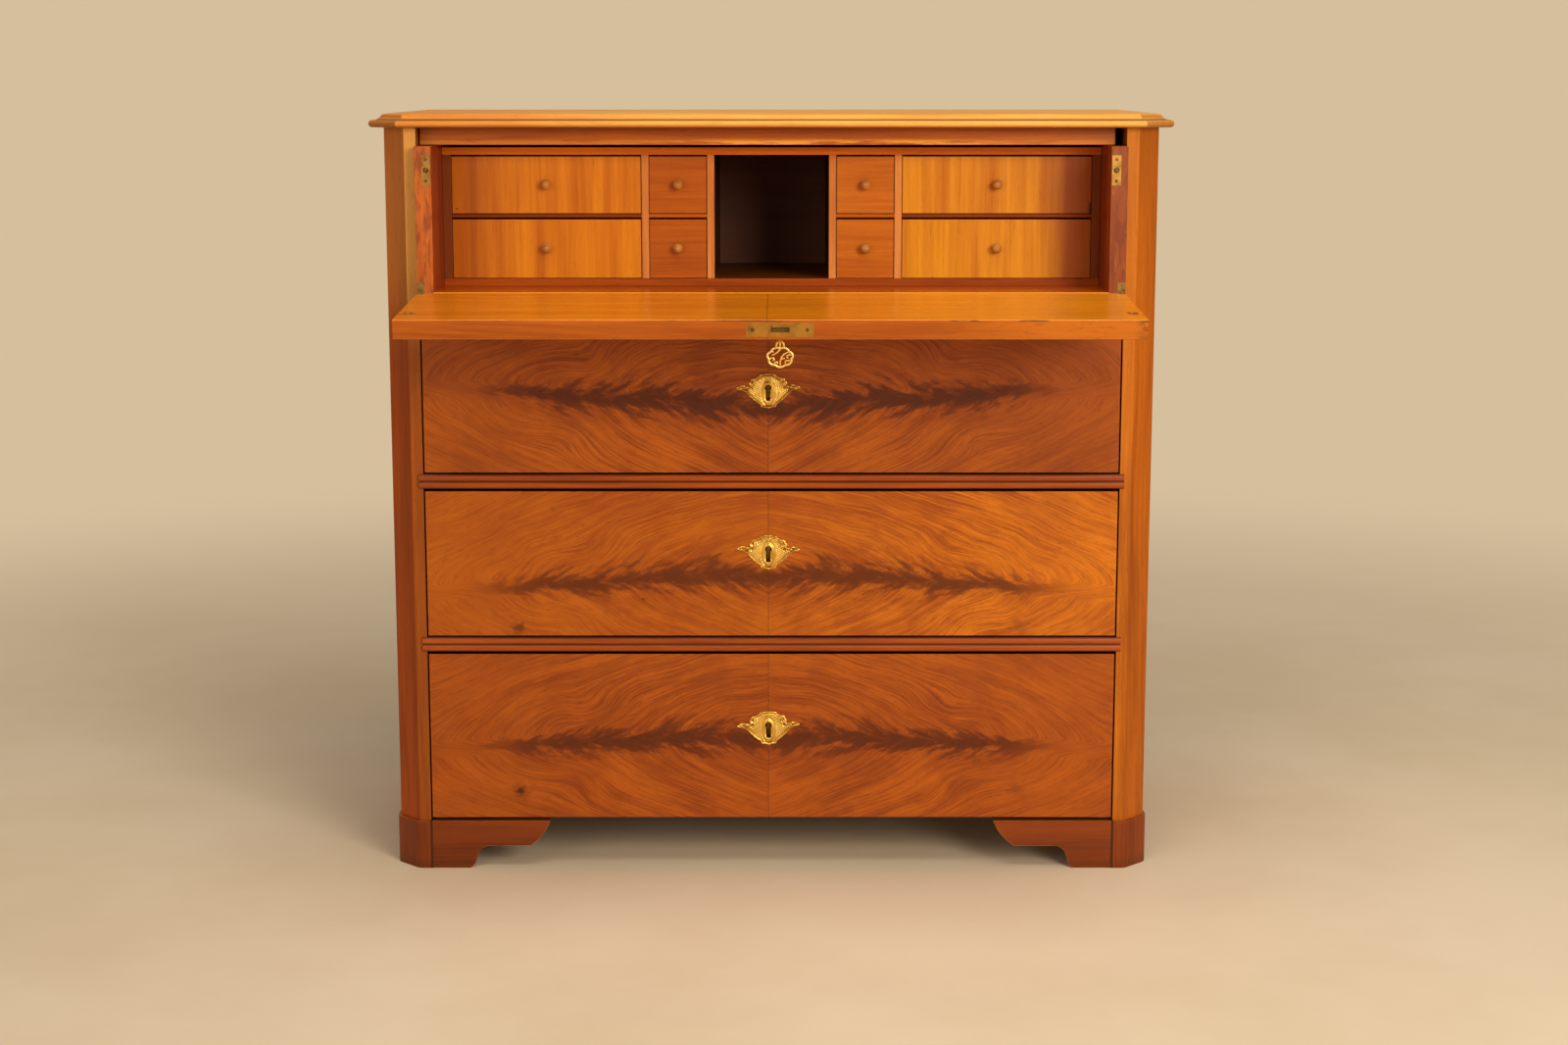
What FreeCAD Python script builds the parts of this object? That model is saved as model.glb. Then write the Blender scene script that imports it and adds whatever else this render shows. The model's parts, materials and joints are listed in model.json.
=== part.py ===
import FreeCAD, Part
import Sketcher
import os
import re

# Secretaire chest with a fall front, fitted nest and three long drawers. Millimetres, X right, Y back, Z up.
doc = FreeCAD.newDocument("SecretaireChest")

# Driving sizes
SIZES = {
    # Case
    "opening_width": 945,
    "post_face": 16,
    "post_cant": 30.5,
    "post_round": 4,
    "post_depth": 50,
    "case_depth": 465,
    "side_thick": 20,
    "back_thick": 10,
    "back_rebate": 10,
    "back_board_gap": 0.5,
    "bottom_thick": 12,
    # Moulded top
    "top_thick": 18,
    "top_overhang": 19,
    "nose_radius": 4.8,
    "cove_step": 1,
    "cove_run": 9,
    "ovolo_run": 7,
    "ovolo_rise": 4.4,
    "frieze_inset": 12.5,
    "frieze_inset_left": 2,
    "frieze_thick": 20,
    "frieze_height": 23.2,
    "frieze_clear": 0.8,
    # Feet
    "foot_height": 67.5,
    "foot_proud": 4,
    "foot_round": 14,
    "bracket_setback": 1,
    "bracket_thick": 18,
    "bracket_reach": 165,
    "bracket_tip_run": 28.5,
    "bracket_tip_radius": 70,
    "bracket_arch": 32,
    "bracket_toe": 53.5,
    "bracket_chamfer": 7,
    "bracket_shank_run": 3,
    "bracket_shank_rise": 12,
    "bracket_hollow_run": 17.5,
    "rear_bracket_width": 95,
    # Rails and runners
    "rail_height": 19.5,
    "rail_depth": 60,
    "reed_base": 1.5,
    "reed_proud": 2,
    "reed_overlap": 6,
    "runner_thick": 16,
    "runner_lap": 18,
    "guide_height": 25,
    "guide_clear": 0.5,
    "slide_clear": 0.3,
    "side_clear": 2,
    "stop_gap": 1,
    # Long drawers
    "drawer_gap": 2.5,
    "drawer_head_clear": 1.5,
    "drawer_1_height": 196.5,
    "drawer_2_height": 201.5,
    "drawer_3_height": 233,
    "drawer_front_thick": 20,
    "drawer_side_thick": 11,
    "drawer_back_thick": 10,
    "drawer_bottom_thick": 7,
    "drawer_bottom_lift": 8,
    "drawer_side_drop": 12,
    "drawer_back_drop": 6,
    "dovetail_lap": 14,
    # Drawer locks and escutcheons
    "drawer_lock_width": 60,
    "drawer_lock_height": 56,
    "drawer_lock_thick": 12,
    "drawer_lock_recess": 8,
    "escutcheon_width": 88,
    "escutcheon_height": 47.5,
    "escutcheon_thick": 2,
    "escutcheon_boss": 1.5,
    "escutcheon_offset": 4.5,
    "keyhole_radius": 3.7,
    "keyhole_slot": 4.6,
    "keyhole_drop": 17,
    # Secretaire drawer
    "secretaire_out": 57,
    "fall_rail_clear": 3,
    "cheek_thick": 22,
    "cheek_height": 217,
    "secretaire_back_thick": 12,
    "secretaire_back_drop": 20,
    "nest_setback": 112,
    "nest_base_thick": 10,
    "nest_top_thick": 10,
    "nest_end_thick": 12,
    "partition_thick": 10,
    "pigeonhole_width": 156,
    "till_small_width": 79.5,
    "nest_drop": 4,
    "till_step": 3,
    "shelf_thick": 5,
    # Tills
    "till_gap": 1,
    "till_head_clear": 1.5,
    "till_front_thick": 9,
    "till_side_thick": 5,
    "till_bottom_thick": 4,
    "till_side_drop": 8,
    "till_stop_gap": 6,
    "knob_radius": 6.8,
    "knob_length": 16,
    "knob_neck_radius": 3.6,
    "knob_foot_radius": 6,
    "knob_foot_height": 2,
    "knob_neck_height": 6,
    # Fall front and hinges
    "fall_thick": 25,
    "fall_droop": 3.6,
    "fall_top_gap": 3,
    "fall_arris": 1.5,
    "fall_end_clear": 2,
    "hinge_gap": 0.4,
    "hinge_width": 10.5,
    "hinge_plate_thick": 3,
    "hinge_plate_height": 38,
    "hinge_arm_height": 10,
    "hinge_eye_radius": 7,
    "hinge_notch_clear": 1.5,
    "hinge_side_clear": 0.5,
    "pin_radius": 3,
    "pin_clear": 0.05,
    "pin_seat": 20,
    # Catches
    "catch_drop": 31,
    "catch_inset": 1,
    "catch_width": 12,
    "catch_height": 39,
    "catch_thick": 1.5,
    "latch_radius": 3.5,
    "latch_clear": 0.05,
    "latch_proud": 3,
    "latch_length": 25,
    "latch_nose": 1.5,
    "latch_tip_radius": 2.2,
    "latch_back_room": 6,
    "striker_width": 14,
    "striker_height": 20,
    "striker_hole_radius": 5,
    "striker_hole_depth": 5,
    # Fall lock, bolt and key
    "lock_offset": 12,
    "lock_plate_width": 84,
    "lock_plate_depth": 18,
    "lock_plate_thick": 2.5,
    "lock_case_width": 60,
    "lock_case_depth": 14,
    "lock_case_height": 52,
    "bolt_width": 22,
    "bolt_thick": 5,
    "bolt_length": 18,
    "bolt_sunk": 0.5,
    "bolt_clear": 0.4,
    "bolt_throw": 8,
    "bolt_mortise_clear": 4,
    "key_drop": 34,
    "key_shaft_radius": 2.6,
    "key_collar_radius": 4.5,
    "key_collar_length": 4,
    "key_collar_gap": 1,
    "key_bow_radius": 18,
    "key_bow_thick": 4,
    "key_bow_rim": 2.6,
    "key_bit_length": 8,
    "key_bit_width": 3,
    "key_bit_depth": 7,
    "key_bit_clear": 2,
    # One overrun for every cut that leaves a face
    "overrun": 5,
}

# Sizes worked out from the driving ones
DERIVED = {
    "case_half": "opening_width / 2 + post_face + post_cant",
    "inner_half": "case_half - side_thick",
    "drawer_half": "opening_width / 2 - side_clear",
    "nest_half": "drawer_half - cheek_thick",
    "level_3": "foot_height + drawer_gap",
    "drawer_3_z": "level_3 + drawer_gap",
    "rail_3_z": "drawer_3_z + drawer_3_height + drawer_gap",
    "level_2": "rail_3_z + rail_height",
    "drawer_2_z": "level_2 + drawer_gap",
    "rail_2_z": "drawer_2_z + drawer_2_height + drawer_gap",
    "level_1": "rail_2_z + rail_height",
    "drawer_1_z": "level_1 + drawer_gap",
    "rail_1_z": "drawer_1_z + drawer_1_height + drawer_gap",
    "bed_z": "rail_1_z + rail_height + fall_rail_clear",
    "level_0": "bed_z - slide_clear",
    "writing_z": "bed_z + fall_thick",
    "cheek_top_z": "bed_z + cheek_height",
    "frieze_z": "cheek_top_z + frieze_clear",
    "case_top_z": "frieze_z + frieze_height",
    "case_height": "case_top_z - foot_height",
    "fall_radius": "fall_thick / 2",
    "fall_top": "case_top_z - fall_top_gap - bed_z - fall_radius",
    "fall_angle": "90 + fall_droop",
    "cheek_in": "fall_thick + hinge_gap - secretaire_out",
    "axis_in": "cheek_in - hinge_gap - fall_radius",
    "fall_reach": "fall_top * cos(fall_droop) + fall_radius * sin(fall_droop) - axis_in",
    "front_y": "(fall_reach - case_depth) / 2",
    "back_y": "front_y + case_depth - back_thick",
    "cheek_y": "front_y + cheek_in",
    "axis_y": "front_y + axis_in",
    "axis_z": "bed_z + fall_radius",
    "secretaire_depth": "case_depth - back_thick - stop_gap - fall_thick - hinge_gap",
    "nest_y": "cheek_y + nest_setback",
    "nest_depth": "secretaire_depth - nest_setback - secretaire_back_thick",
    "till_room": "cheek_height - nest_drop - fall_thick - nest_base_thick - shelf_thick - nest_top_thick",
    "till_lower_height": "(till_room + till_step) / 2",
    "till_upper_height": "(till_room - till_step) / 2",
    "till_floor_z": "writing_z + nest_base_thick",
    "shelf_z": "till_floor_z + till_lower_height",
    "till_upper_z": "shelf_z + shelf_thick",
    "nest_top_z": "till_upper_z + till_upper_height",
    "small_x": "pigeonhole_width / 2 + partition_thick",
    "large_x": "small_x + till_small_width + partition_thick",
    "till_large_width": "nest_half - nest_end_thick - large_x",
    "cove_rise": "top_thick - ovolo_rise - 2 * nose_radius",
    "cove_radius": "(cove_run ^ 2 + cove_rise ^ 2) / (2 * cove_rise)",
    "ovolo_radius": "(ovolo_run ^ 2 + ovolo_rise ^ 2) / (2 * ovolo_rise)",
    "reed_radius": "(rail_height ^ 2 / 16 + reed_proud ^ 2) / (2 * reed_proud)",
    "bracket_shank_u": "bracket_toe + bracket_chamfer + bracket_shank_run",
    "bracket_shank_z": "bracket_chamfer + bracket_shank_rise",
    "bracket_hollow_rise": "bracket_arch - bracket_shank_z",
    "bracket_hollow_radius":
        "(bracket_hollow_run ^ 2 + bracket_hollow_rise ^ 2) / (2 * bracket_hollow_rise)",
    "catch_z": "cheek_top_z - catch_drop",
    "catch_x": "nest_half + catch_inset + catch_width / 2",
    "latch_bore": "latch_radius + latch_clear",
    "key_z": "fall_top - key_drop",
    "key_y": "-fall_radius - escutcheon_thick - escutcheon_boss - key_collar_gap",
    "key_bow_y": "key_y - key_collar_length - key_bow_radius + key_bow_rim",
    "key_sweep": "key_shaft_radius + key_bit_length + key_bit_clear",
    "drawer_depth": "case_depth - back_thick - stop_gap - drawer_front_thick",
    "till_depth": "nest_depth - till_stop_gap - till_front_thick",
}

# Shares, chosen by eye, of the sizes they follow
TAIL_BASE_SHARE = 0.42
TAIL_TIP_SHARE = 0.6
TAIL_COUNTS = {1: 5, 2: 5, 3: 6}
KEYHOLE_HEIGHT_SHARES = {1: 0.56, 2: 0.57, 3: 0.54}
ESCUTCHEON_HALF_SHARES = (
    (0, -0.475), (0.22, -0.42), (0.52, -0.2), (0.72, -0.02), (1, 0.1), (0.93, 0.17), (0.64, 0.18),
    (0.57, 0.36), (0.47, 0.4), (0.31, 0.41), (0.27, 0.5), (0, 0.525),
)
BOSS_RADIUS_SHARE = 0.28
KNOB_HEAD_SHARE = 0.62
KNOB_CROWN_SHARE = 1.2
KEY_HOLE_RADIUS_SHARE = 0.3
KEY_HOLE_RING_SHARE = 0.56
BACK_BOARD_COUNT = 5
KEY_HOLE_COUNT = 6
FULL_TURN = 360

sheet = doc.addObject("Spreadsheet::Sheet", "Sizes")
for column, table in (("A", SIZES), ("B", DERIVED)):
    for row, (alias, value) in enumerate(table.items(), start=1):
        cell = column + str(row)
        sheet.set(cell, "=" + value if isinstance(value, str) else str(value))
        sheet.setAlias(cell, alias)
doc.recompute()


def cells(text):
    """Point every size named in an expression at the sheet."""
    return re.sub(r"[a-z]\w*", lambda found: named(found.group()), str(text))


def named(word):
    return "Sizes." + word if word in SIZES or word in DERIVED else word


def number(text):
    return float(sheet.evalExpression(cells(text)))


def bind(item, **expressions):
    for prop, text in expressions.items():
        item.setExpression(prop, cells(text))
    return item


def place(item, x="0", y="0", z="0"):
    """Tie an object's place to the sheet."""
    for axis, text in zip("xyz", (x, y, z)):
        item.setExpression("Placement.Base." + axis, cells(text))
    return item


def turn(item, axis, angle):
    """Tie an object's turn about an axis to the sheet."""
    spin = FreeCAD.Rotation(FreeCAD.Vector(axis), number(angle))
    item.Placement = FreeCAD.Placement(item.Placement.Base, spin)
    item.setExpression("Placement.Rotation.Angle", cells(angle))
    return item


def board(name, x, y, z, length, width, height):
    """A squared board from its lowest corner."""
    item = doc.addObject("Part::Box", name)
    bind(item, Length=length, Width=width, Height=height)
    return place(item, x, y, z)


def rod(name, axis, x, y, z, radius, length):
    """A round rod that starts at a point and runs along X, Y or Z."""
    item = doc.addObject("Part::Cylinder", name)
    bind(item, Radius=radius, Height=length)
    lay_along(item, axis)
    return place(item, x, y, z)


def lay_along(item, axis):
    turns = {"X": FreeCAD.Vector(1, 0, 0), "Y": FreeCAD.Vector(0, 1, 0), "Z": FreeCAD.Vector(0, 0, 1)}
    item.Placement = FreeCAD.Placement(FreeCAD.Vector(), FreeCAD.Rotation(turns["Z"], turns[axis]))


def group(name, items):
    item = doc.addObject("Part::Compound", name)
    item.Links = items
    return item


def fuse(name, items):
    item = doc.addObject("Part::MultiFuse", name)
    item.Shapes = items
    return item


def cut(name, base, tools):
    item = doc.addObject("Part::Cut", name)
    item.Base = base
    item.Tool = tools[0] if len(tools) == 1 else group(name + "_cuts", tools)
    return item


def mirror(name, source):
    """The left-hand twin of a right-hand piece."""
    item = doc.addObject("Part::Mirroring", name)
    item.Source = source
    item.Normal = FreeCAD.Vector(1, 0, 0)
    return item


def arc_edge(start, end, radius, leftward):
    """The short arc from start to end whose centre lies to the left or right of the way."""
    chord = end - start
    side = FreeCAD.Vector(-chord.y, chord.x, 0).normalize()
    rise = max(radius ** 2 - (chord.Length / 2) ** 2, 0) ** 0.5
    centre = (start + end) / 2 + side * (rise if leftward else -rise)
    low, high = (start, end) if leftward else (end, start)
    flat = FreeCAD.Vector(1, 0, 0)
    angles = [flat.getAngle(p - centre) * (1 if p.y >= centre.y else -1) for p in (low, high)]
    circle = Part.Circle(centre, FreeCAD.Vector(0, 0, 1), radius)
    return Part.ArcOfCircle(circle, angles[0], angles[1])


def sketch_on(body, name, role):
    sketch = body.newObject("Sketcher::SketchObject", name)
    plane = next(item for item in body.Origin.OriginFeatures if item.Role == role)
    sketch.AttachmentSupport = (plane, [""])
    sketch.MapMode = "FlatFace"
    return sketch


def outline(sketch, corners):
    """Draw a closed outline. A corner is (u, v), or (u, v, radius, leftward) where an arc leaves it."""
    points = [FreeCAD.Vector(number(corner[0]), number(corner[1]), 0) for corner in corners]
    ends = []
    for index, corner in enumerate(corners):
        start = points[index]
        end = points[(index + 1) % len(points)]
        if len(corner) == 2:
            edge = sketch.addGeometry(Part.LineSegment(start, end))
            ends.append((edge, 1, 2))
        else:
            edge = sketch.addGeometry(arc_edge(start, end, number(corner[2]), corner[3]))
            ends.append((edge, 1, 2) if corner[3] else (edge, 2, 1))
            limit(sketch, "Radius", (edge,), corner[2])
    for index, corner in enumerate(corners):
        edge, first, _ = ends[index]
        before, _, last = ends[index - 1]
        sketch.addConstraint(Sketcher.Constraint("Coincident", before, last, edge, first))
        limit(sketch, "DistanceX", (-1, 1, edge, first), corner[0])
        limit(sketch, "DistanceY", (-1, 1, edge, first), corner[1])


def limit(sketch, kind, target, text):
    index = sketch.addConstraint(Sketcher.Constraint(kind, *target, number(text)))
    sketch.setExpression("Constraints[" + str(index) + "]", cells(text))


def profile(name, role, corners, length, backward=False):
    """A body padded from one closed outline."""
    body = doc.addObject("PartDesign::Body", name)
    sketch = sketch_on(body, name + "_outline", role)
    outline(sketch, corners)
    pad = body.newObject("PartDesign::Pad", name + "_pad")
    pad.Profile = sketch
    pad.Reversed = backward
    bind(pad, Length=length)
    return body


def moulded_prism(name, tip, tail, length):
    """A slab along Y whose X end has the top's nose, step, cove and ovolo."""
    nose = "nose_radius"
    step_u = tip + " - nose_radius - cove_step"
    cove_u = step_u + " - cove_run"
    corners = [
        (tail, "0"),
        (tip + " - nose_radius", "0", nose, True),
        (tip, nose, nose, True),
        (tip + " - nose_radius", "2 * nose_radius"),
        (step_u, "2 * nose_radius", "cove_radius", False),
        (cove_u, "top_thick - ovolo_rise", "ovolo_radius", True),
        (cove_u + " - ovolo_run", "top_thick"),
        (tail, "top_thick"),
    ]
    return profile(name, "XZ_Plane", corners, length, backward=True)


def make_top():
    """The top: moulded on the front, the ends and the canted corners, mitred where they meet."""
    half = "case_half + top_overhang"
    front = moulded_prism("top_front_edge", "case_depth + top_overhang", "0", "2 * (" + half + ")")
    place(front, "-(" + half + ")", "front_y + case_depth", "case_top_z")
    turn(front, FreeCAD.Vector(0, 0, 1), "-90")
    side = moulded_prism("top_side_edge", half, "-(" + half + ")", "case_depth + top_overhang")
    place(side, "0", "front_y - top_overhang", "case_top_z")
    reach = "(case_half + case_depth)"
    cant_tip = "(opening_width / 2 + post_face) / sqrt(2) + top_overhang"
    cant = moulded_prism("top_cant_edge", cant_tip, "-" + reach, "2 * " + reach)
    shift = reach + " / sqrt(2)"
    place(cant, "-" + shift, "front_y - " + shift, "case_top_z")
    turn(cant, FreeCAD.Vector(0, 0, 1), "-45")
    slabs = [front, side, cant, mirror("top_side_edge_left", side), mirror("top_cant_edge_left", cant)]
    slab = doc.addObject("Part::MultiCommon", "top_slab")
    slab.Shapes = slabs
    room = "bolt_mortise_clear"
    mortise = board(
        "bolt_mortise",
        "lock_offset - bolt_width / 2 - " + room,
        "front_y + fall_radius - bolt_thick / 2 - " + room, "case_top_z - overrun",
        "bolt_width + 2 * " + room, "bolt_thick + 2 * " + room,
        "overrun + bolt_throw - fall_top_gap + bolt_clear",
    )
    return cut("top_board", slab, [mortise])


def canted_corners(proud, round_size):
    """Plan of a canted post or foot block with rounded arrises, from the opening's edge."""
    spread = proud + " * (sqrt(2) - 1)"
    tangent = round_size + " * (sqrt(2) - 1)"
    slant = tangent + " / sqrt(2)"
    outer = "post_face + post_cant + " + proud
    first = "post_face + " + spread
    second = "post_cant - " + spread
    return [
        ("0", "-" + proud),
        (first + " - " + tangent, "-" + proud, round_size, True),
        (first + " + " + slant, "-" + proud + " + " + slant),
        (outer + " - " + slant, second + " - " + slant, round_size, True),
        (outer, second + " + " + tangent),
        (outer, "post_depth"),
        ("0", "post_depth"),
    ]


def make_post():
    post = profile("corner_post_right", "XY_Plane", canted_corners("0", "post_round"), "case_height")
    return place(post, "opening_width / 2", "front_y", "foot_height")


def make_side():
    plank = board(
        "side_plank_right", "inner_half", "front_y + post_depth", "foot_height",
        "side_thick", "case_depth - post_depth", "case_height",
    )
    rebate = board(
        "side_rebate_right", "inner_half - overrun", "back_y", "foot_height - overrun",
        "back_rebate + overrun", "back_thick + overrun", "case_height + 2 * overrun",
    )
    return cut("side_panel_right", plank, [rebate])


def make_back():
    """Upright boards set in the rebates of the sides."""
    span = "2 * (inner_half + back_rebate)"
    pitch = "(" + span + ") / " + str(BACK_BOARD_COUNT)
    boards = []
    for index in range(BACK_BOARD_COUNT):
        start = "-(inner_half + back_rebate) + " + str(index) + " * " + pitch
        name = "back_board_" + str(index + 1)
        boards.append(board(
            name, start, "back_y", "foot_height", pitch + " - back_board_gap", "back_thick", "case_height",
        ))
    return group("back_boards", boards)


def make_rails():
    """Three rails between the posts, each faced with a double reed that laps over the posts."""
    face = "-reed_base"
    corners = [
        ("0", "0"),
        ("0", "rail_height"),
        (face, "rail_height", "reed_radius", True),
        (face, "rail_height / 2", "reed_radius", True),
        (face, "0"),
    ]
    pieces = []
    for level in ("rail_1_z", "rail_2_z", "rail_3_z"):
        pieces.append(board(
            level + "_rail", "-opening_width / 2", "front_y", level,
            "opening_width", "rail_depth", "rail_height",
        ))
        strip = profile(level + "_reed", "YZ_Plane", corners, "opening_width + 2 * reed_overlap")
        pieces.append(place(strip, "-opening_width / 2 - reed_overlap", "front_y", level))
    return group("divider_rails", pieces)


def make_runners():
    """Runners under the drawers' sides and guides beside them."""
    pieces = []
    levels = ("level_0", "level_1", "level_2", "level_3")
    for level in levels:
        if level != "level_3":
            width = "inner_half - opening_width / 2 + runner_lap"
            pieces += both_sides(
                "runner_" + level,
                "opening_width / 2 - runner_lap", "front_y + rail_depth", level + " - runner_thick",
                width, "case_depth - back_thick - rail_depth", "runner_thick",
            )
        pieces += both_sides(
            "guide_" + level, "drawer_half + guide_clear", "front_y + post_depth", level,
            "inner_half - drawer_half - guide_clear", "case_depth - back_thick - post_depth", "guide_height",
        )
    return group("drawer_runners", pieces)


def both_sides(name, x, y, z, length, width, height):
    right = board(name + "_right", x, y, z, length, width, height)
    return [right, mirror(name + "_left", right)]


def bracket_corners(sign):
    """Bracket foot: swelled tip, straight arch, hollow and chamfered toe, away from the block."""
    corners = [
        ("0", "0"),
        ("bracket_toe", "0"),
        ("bracket_toe + bracket_chamfer", "bracket_chamfer"),
        ("bracket_shank_u", "bracket_shank_z", "bracket_hollow_radius", False),
        ("bracket_shank_u + bracket_hollow_run", "bracket_arch"),
        ("bracket_reach - bracket_tip_run", "bracket_arch", "bracket_tip_radius", True),
        ("bracket_reach", "foot_height"),
        ("0", "foot_height"),
    ]
    if sign > 0:
        return corners
    flipped = [("-(" + corner[0] + ")", corner[1]) for corner in corners]
    flipped[3] += ("bracket_hollow_radius", True)
    flipped[5] += ("bracket_tip_radius", False)
    return flipped


def make_front_foot():
    """Canted block under the post with a shaped bracket along the front and one along the side."""
    block = profile("foot_block", "XY_Plane", canted_corners("foot_proud", "foot_round"), "foot_height")
    place(block, "opening_width / 2", "front_y")
    front = profile("foot_front_bracket", "XZ_Plane", bracket_corners(-1), "bracket_thick", backward=True)
    place(front, "opening_width / 2", "front_y - foot_proud + bracket_setback")
    side = profile("foot_side_bracket", "YZ_Plane", bracket_corners(1), "bracket_thick")
    place(side, "case_half + foot_proud - bracket_setback - bracket_thick", "front_y + post_depth")
    return group("front_foot_right", [block, front, side])


def make_rear_feet():
    side = profile("rear_side_bracket", "YZ_Plane", bracket_corners(-1), "bracket_thick")
    side_x = "case_half + foot_proud - bracket_setback - bracket_thick"
    place(side, side_x, "front_y + case_depth")
    plank = board(
        "rear_back_bracket", side_x + " - rear_bracket_width", "back_y", "0",
        "rear_bracket_width", "back_thick", "foot_height",
    )
    pieces = [side, plank, mirror("rear_side_bracket_left", side), mirror("rear_back_bracket_left", plank)]
    return group("rear_feet", pieces)


def drawer_side(index):
    """Right-hand drawer side with tails that run into the front."""
    height = "(drawer_" + str(index) + "_height - drawer_side_drop + drawer_gap)"
    pitch = height + " / " + str(TAIL_COUNTS[index])
    corners = [("0", "0"), ("drawer_depth", "0"), ("drawer_depth", height), ("0", height)]
    for tail in reversed(range(TAIL_COUNTS[index])):
        middle = pitch + " * " + str(tail + 0.5)
        base = pitch + " * " + str(TAIL_BASE_SHARE / 2)
        tip = pitch + " * " + str(TAIL_TIP_SHARE / 2)
        corners += [
            ("0", middle + " + " + base),
            ("-dovetail_lap", middle + " + " + tip),
            ("-dovetail_lap", middle + " - " + tip),
            ("0", middle + " - " + base),
        ]
    name = "drawer_" + str(index) + "_side_right"
    side = profile(name, "YZ_Plane", corners, "drawer_side_thick")
    bottom = "level_" + str(index) + " + slide_clear"
    return place(side, "drawer_half - drawer_side_thick", "front_y + drawer_front_thick", bottom)


def keyhole_height(index):
    share = KEYHOLE_HEIGHT_SHARES[index]
    return "drawer_{0}_z + {1} * drawer_{0}_height".format(index, share)


def keyhole_cut(name, x, y, z, depth):
    """Round eye with a slot below it, running back from y."""
    eye = rod(name + "_eye", "Y", x, y, z + " + keyhole_drop / 3", "keyhole_radius", depth)
    slot = board(
        name + "_slot", x + " - keyhole_slot / 2", y, z + " - 2 * keyhole_drop / 3",
        "keyhole_slot", depth, "keyhole_drop",
    )
    return fuse(name, [eye, slot])


def escutcheon(name, x, y, z):
    """Cast shield with pointed leaf wings, a raised boss and a keyhole, facing forward from y."""
    half = [
        (str(u) + " * escutcheon_width / 2", str(v) + " * escutcheon_height")
        for u, v in ESCUTCHEON_HALF_SHARES
    ]
    other = [("-" + u, v) for u, v in reversed(half[1:-1])]
    plate = place(profile(name + "_plate", "XZ_Plane", half + other, "escutcheon_thick"), x, y, z)
    boss = doc.addObject("Part::Cone", name + "_boss")
    reach = str(BOSS_RADIUS_SHARE) + " * escutcheon_width"
    bind(boss, Radius1=reach, Radius2=reach + " - escutcheon_boss", Height="escutcheon_boss")
    boss.Placement = FreeCAD.Placement(
        FreeCAD.Vector(), FreeCAD.Rotation(FreeCAD.Vector(0, 0, 1), FreeCAD.Vector(0, -1, 0)),
    )
    place(boss, x, y + " - escutcheon_thick", z)
    depth = "escutcheon_thick + escutcheon_boss + 2 * overrun"
    hole = keyhole_cut(name + "_hole", x, y + " - escutcheon_thick - escutcheon_boss - overrun", z, depth)
    trimmed = doc.addObject("Part::MultiCommon", name + "_boss_trimmed")
    limits = profile(name + "_limits", "XZ_Plane", half + other, "escutcheon_thick + escutcheon_boss")
    trimmed.Shapes = [boss, place(limits, x, y, z)]
    return cut(name, fuse(name + "_cast", [plate, trimmed]), [hole])


def make_long_drawer(index):
    """Front, dovetailed box, escutcheon and lock of one long drawer."""
    name = "drawer_" + str(index)
    front_z = name + "_z"
    height = name + "_height"
    level = "level_" + str(index) + " + slide_clear"
    right = drawer_side(index)
    left = mirror(name + "_side_left", right)
    back_of_front = "front_y + drawer_front_thick"
    inside = "2 * (drawer_half - drawer_side_thick)"
    inside_x = "-(drawer_half - drawer_side_thick)"
    bottom = board(
        name + "_bottom", inside_x, back_of_front, level + " + drawer_bottom_lift",
        inside, "drawer_depth", "drawer_bottom_thick",
    )
    back_z = level + " + drawer_bottom_lift + drawer_bottom_thick"
    back_height = (
        height + " - drawer_side_drop + drawer_gap - drawer_bottom_lift"
        + " - drawer_bottom_thick - drawer_back_drop"
    )
    back = board(
        name + "_back", inside_x, back_of_front + " + drawer_depth - drawer_back_thick", back_z,
        inside, "drawer_back_thick", back_height,
    )
    box = group(name + "_box", [right, left, bottom, back])
    key_x = "-escutcheon_offset"
    key_z = keyhole_height(index)
    lock_y = back_of_front + " - drawer_lock_recess"
    case = board(
        name + "_lock_case",
        key_x + " - drawer_lock_width / 2", lock_y, key_z + " - drawer_lock_height / 2",
        "drawer_lock_width", "drawer_lock_thick", "drawer_lock_height",
    )
    lock_hole = keyhole_cut(
        name + "_lock_hole", key_x, lock_y + " - overrun", key_z, "overrun + drawer_lock_recess",
    )
    lock = cut(name + "_lock", case, [lock_hole])
    plank = board(
        name + "_plank", "-drawer_half", "front_y", front_z,
        "2 * drawer_half", "drawer_front_thick", height + " - drawer_head_clear",
    )
    front_hole = keyhole_cut(
        name + "_front_hole", key_x, "front_y - overrun", key_z, "drawer_front_thick + overrun",
    )
    recess = fuse(name + "_lock_recess", [case, front_hole])
    front = cut(name + "_front", plank, [right, left, recess])
    plate = escutcheon(name + "_escutcheon", key_x, "front_y", key_z)
    return [front, box, plate, lock]


def make_cheek(plate, catch):
    """Right-hand cheek, let in for the hinge plate and the catch."""
    plank = board(
        "cheek_plank_right", "nest_half", "cheek_y", "bed_z",
        "cheek_thick", "secretaire_depth", "cheek_height",
    )
    bore = rod(
        "latch_bore_right", "Y", "catch_x", "cheek_y - overrun", "catch_z", "latch_bore",
        "overrun + latch_length - latch_proud + latch_back_room",
    )
    return cut("cheek_right", plank, [fuse("cheek_lets_right", [plate, catch, bore])])


def hinge_plate():
    return board(
        "hinge_plate_right", "drawer_half - hinge_width", "cheek_y", "bed_z",
        "hinge_width", "hinge_plate_thick", "hinge_plate_height",
    )


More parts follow.
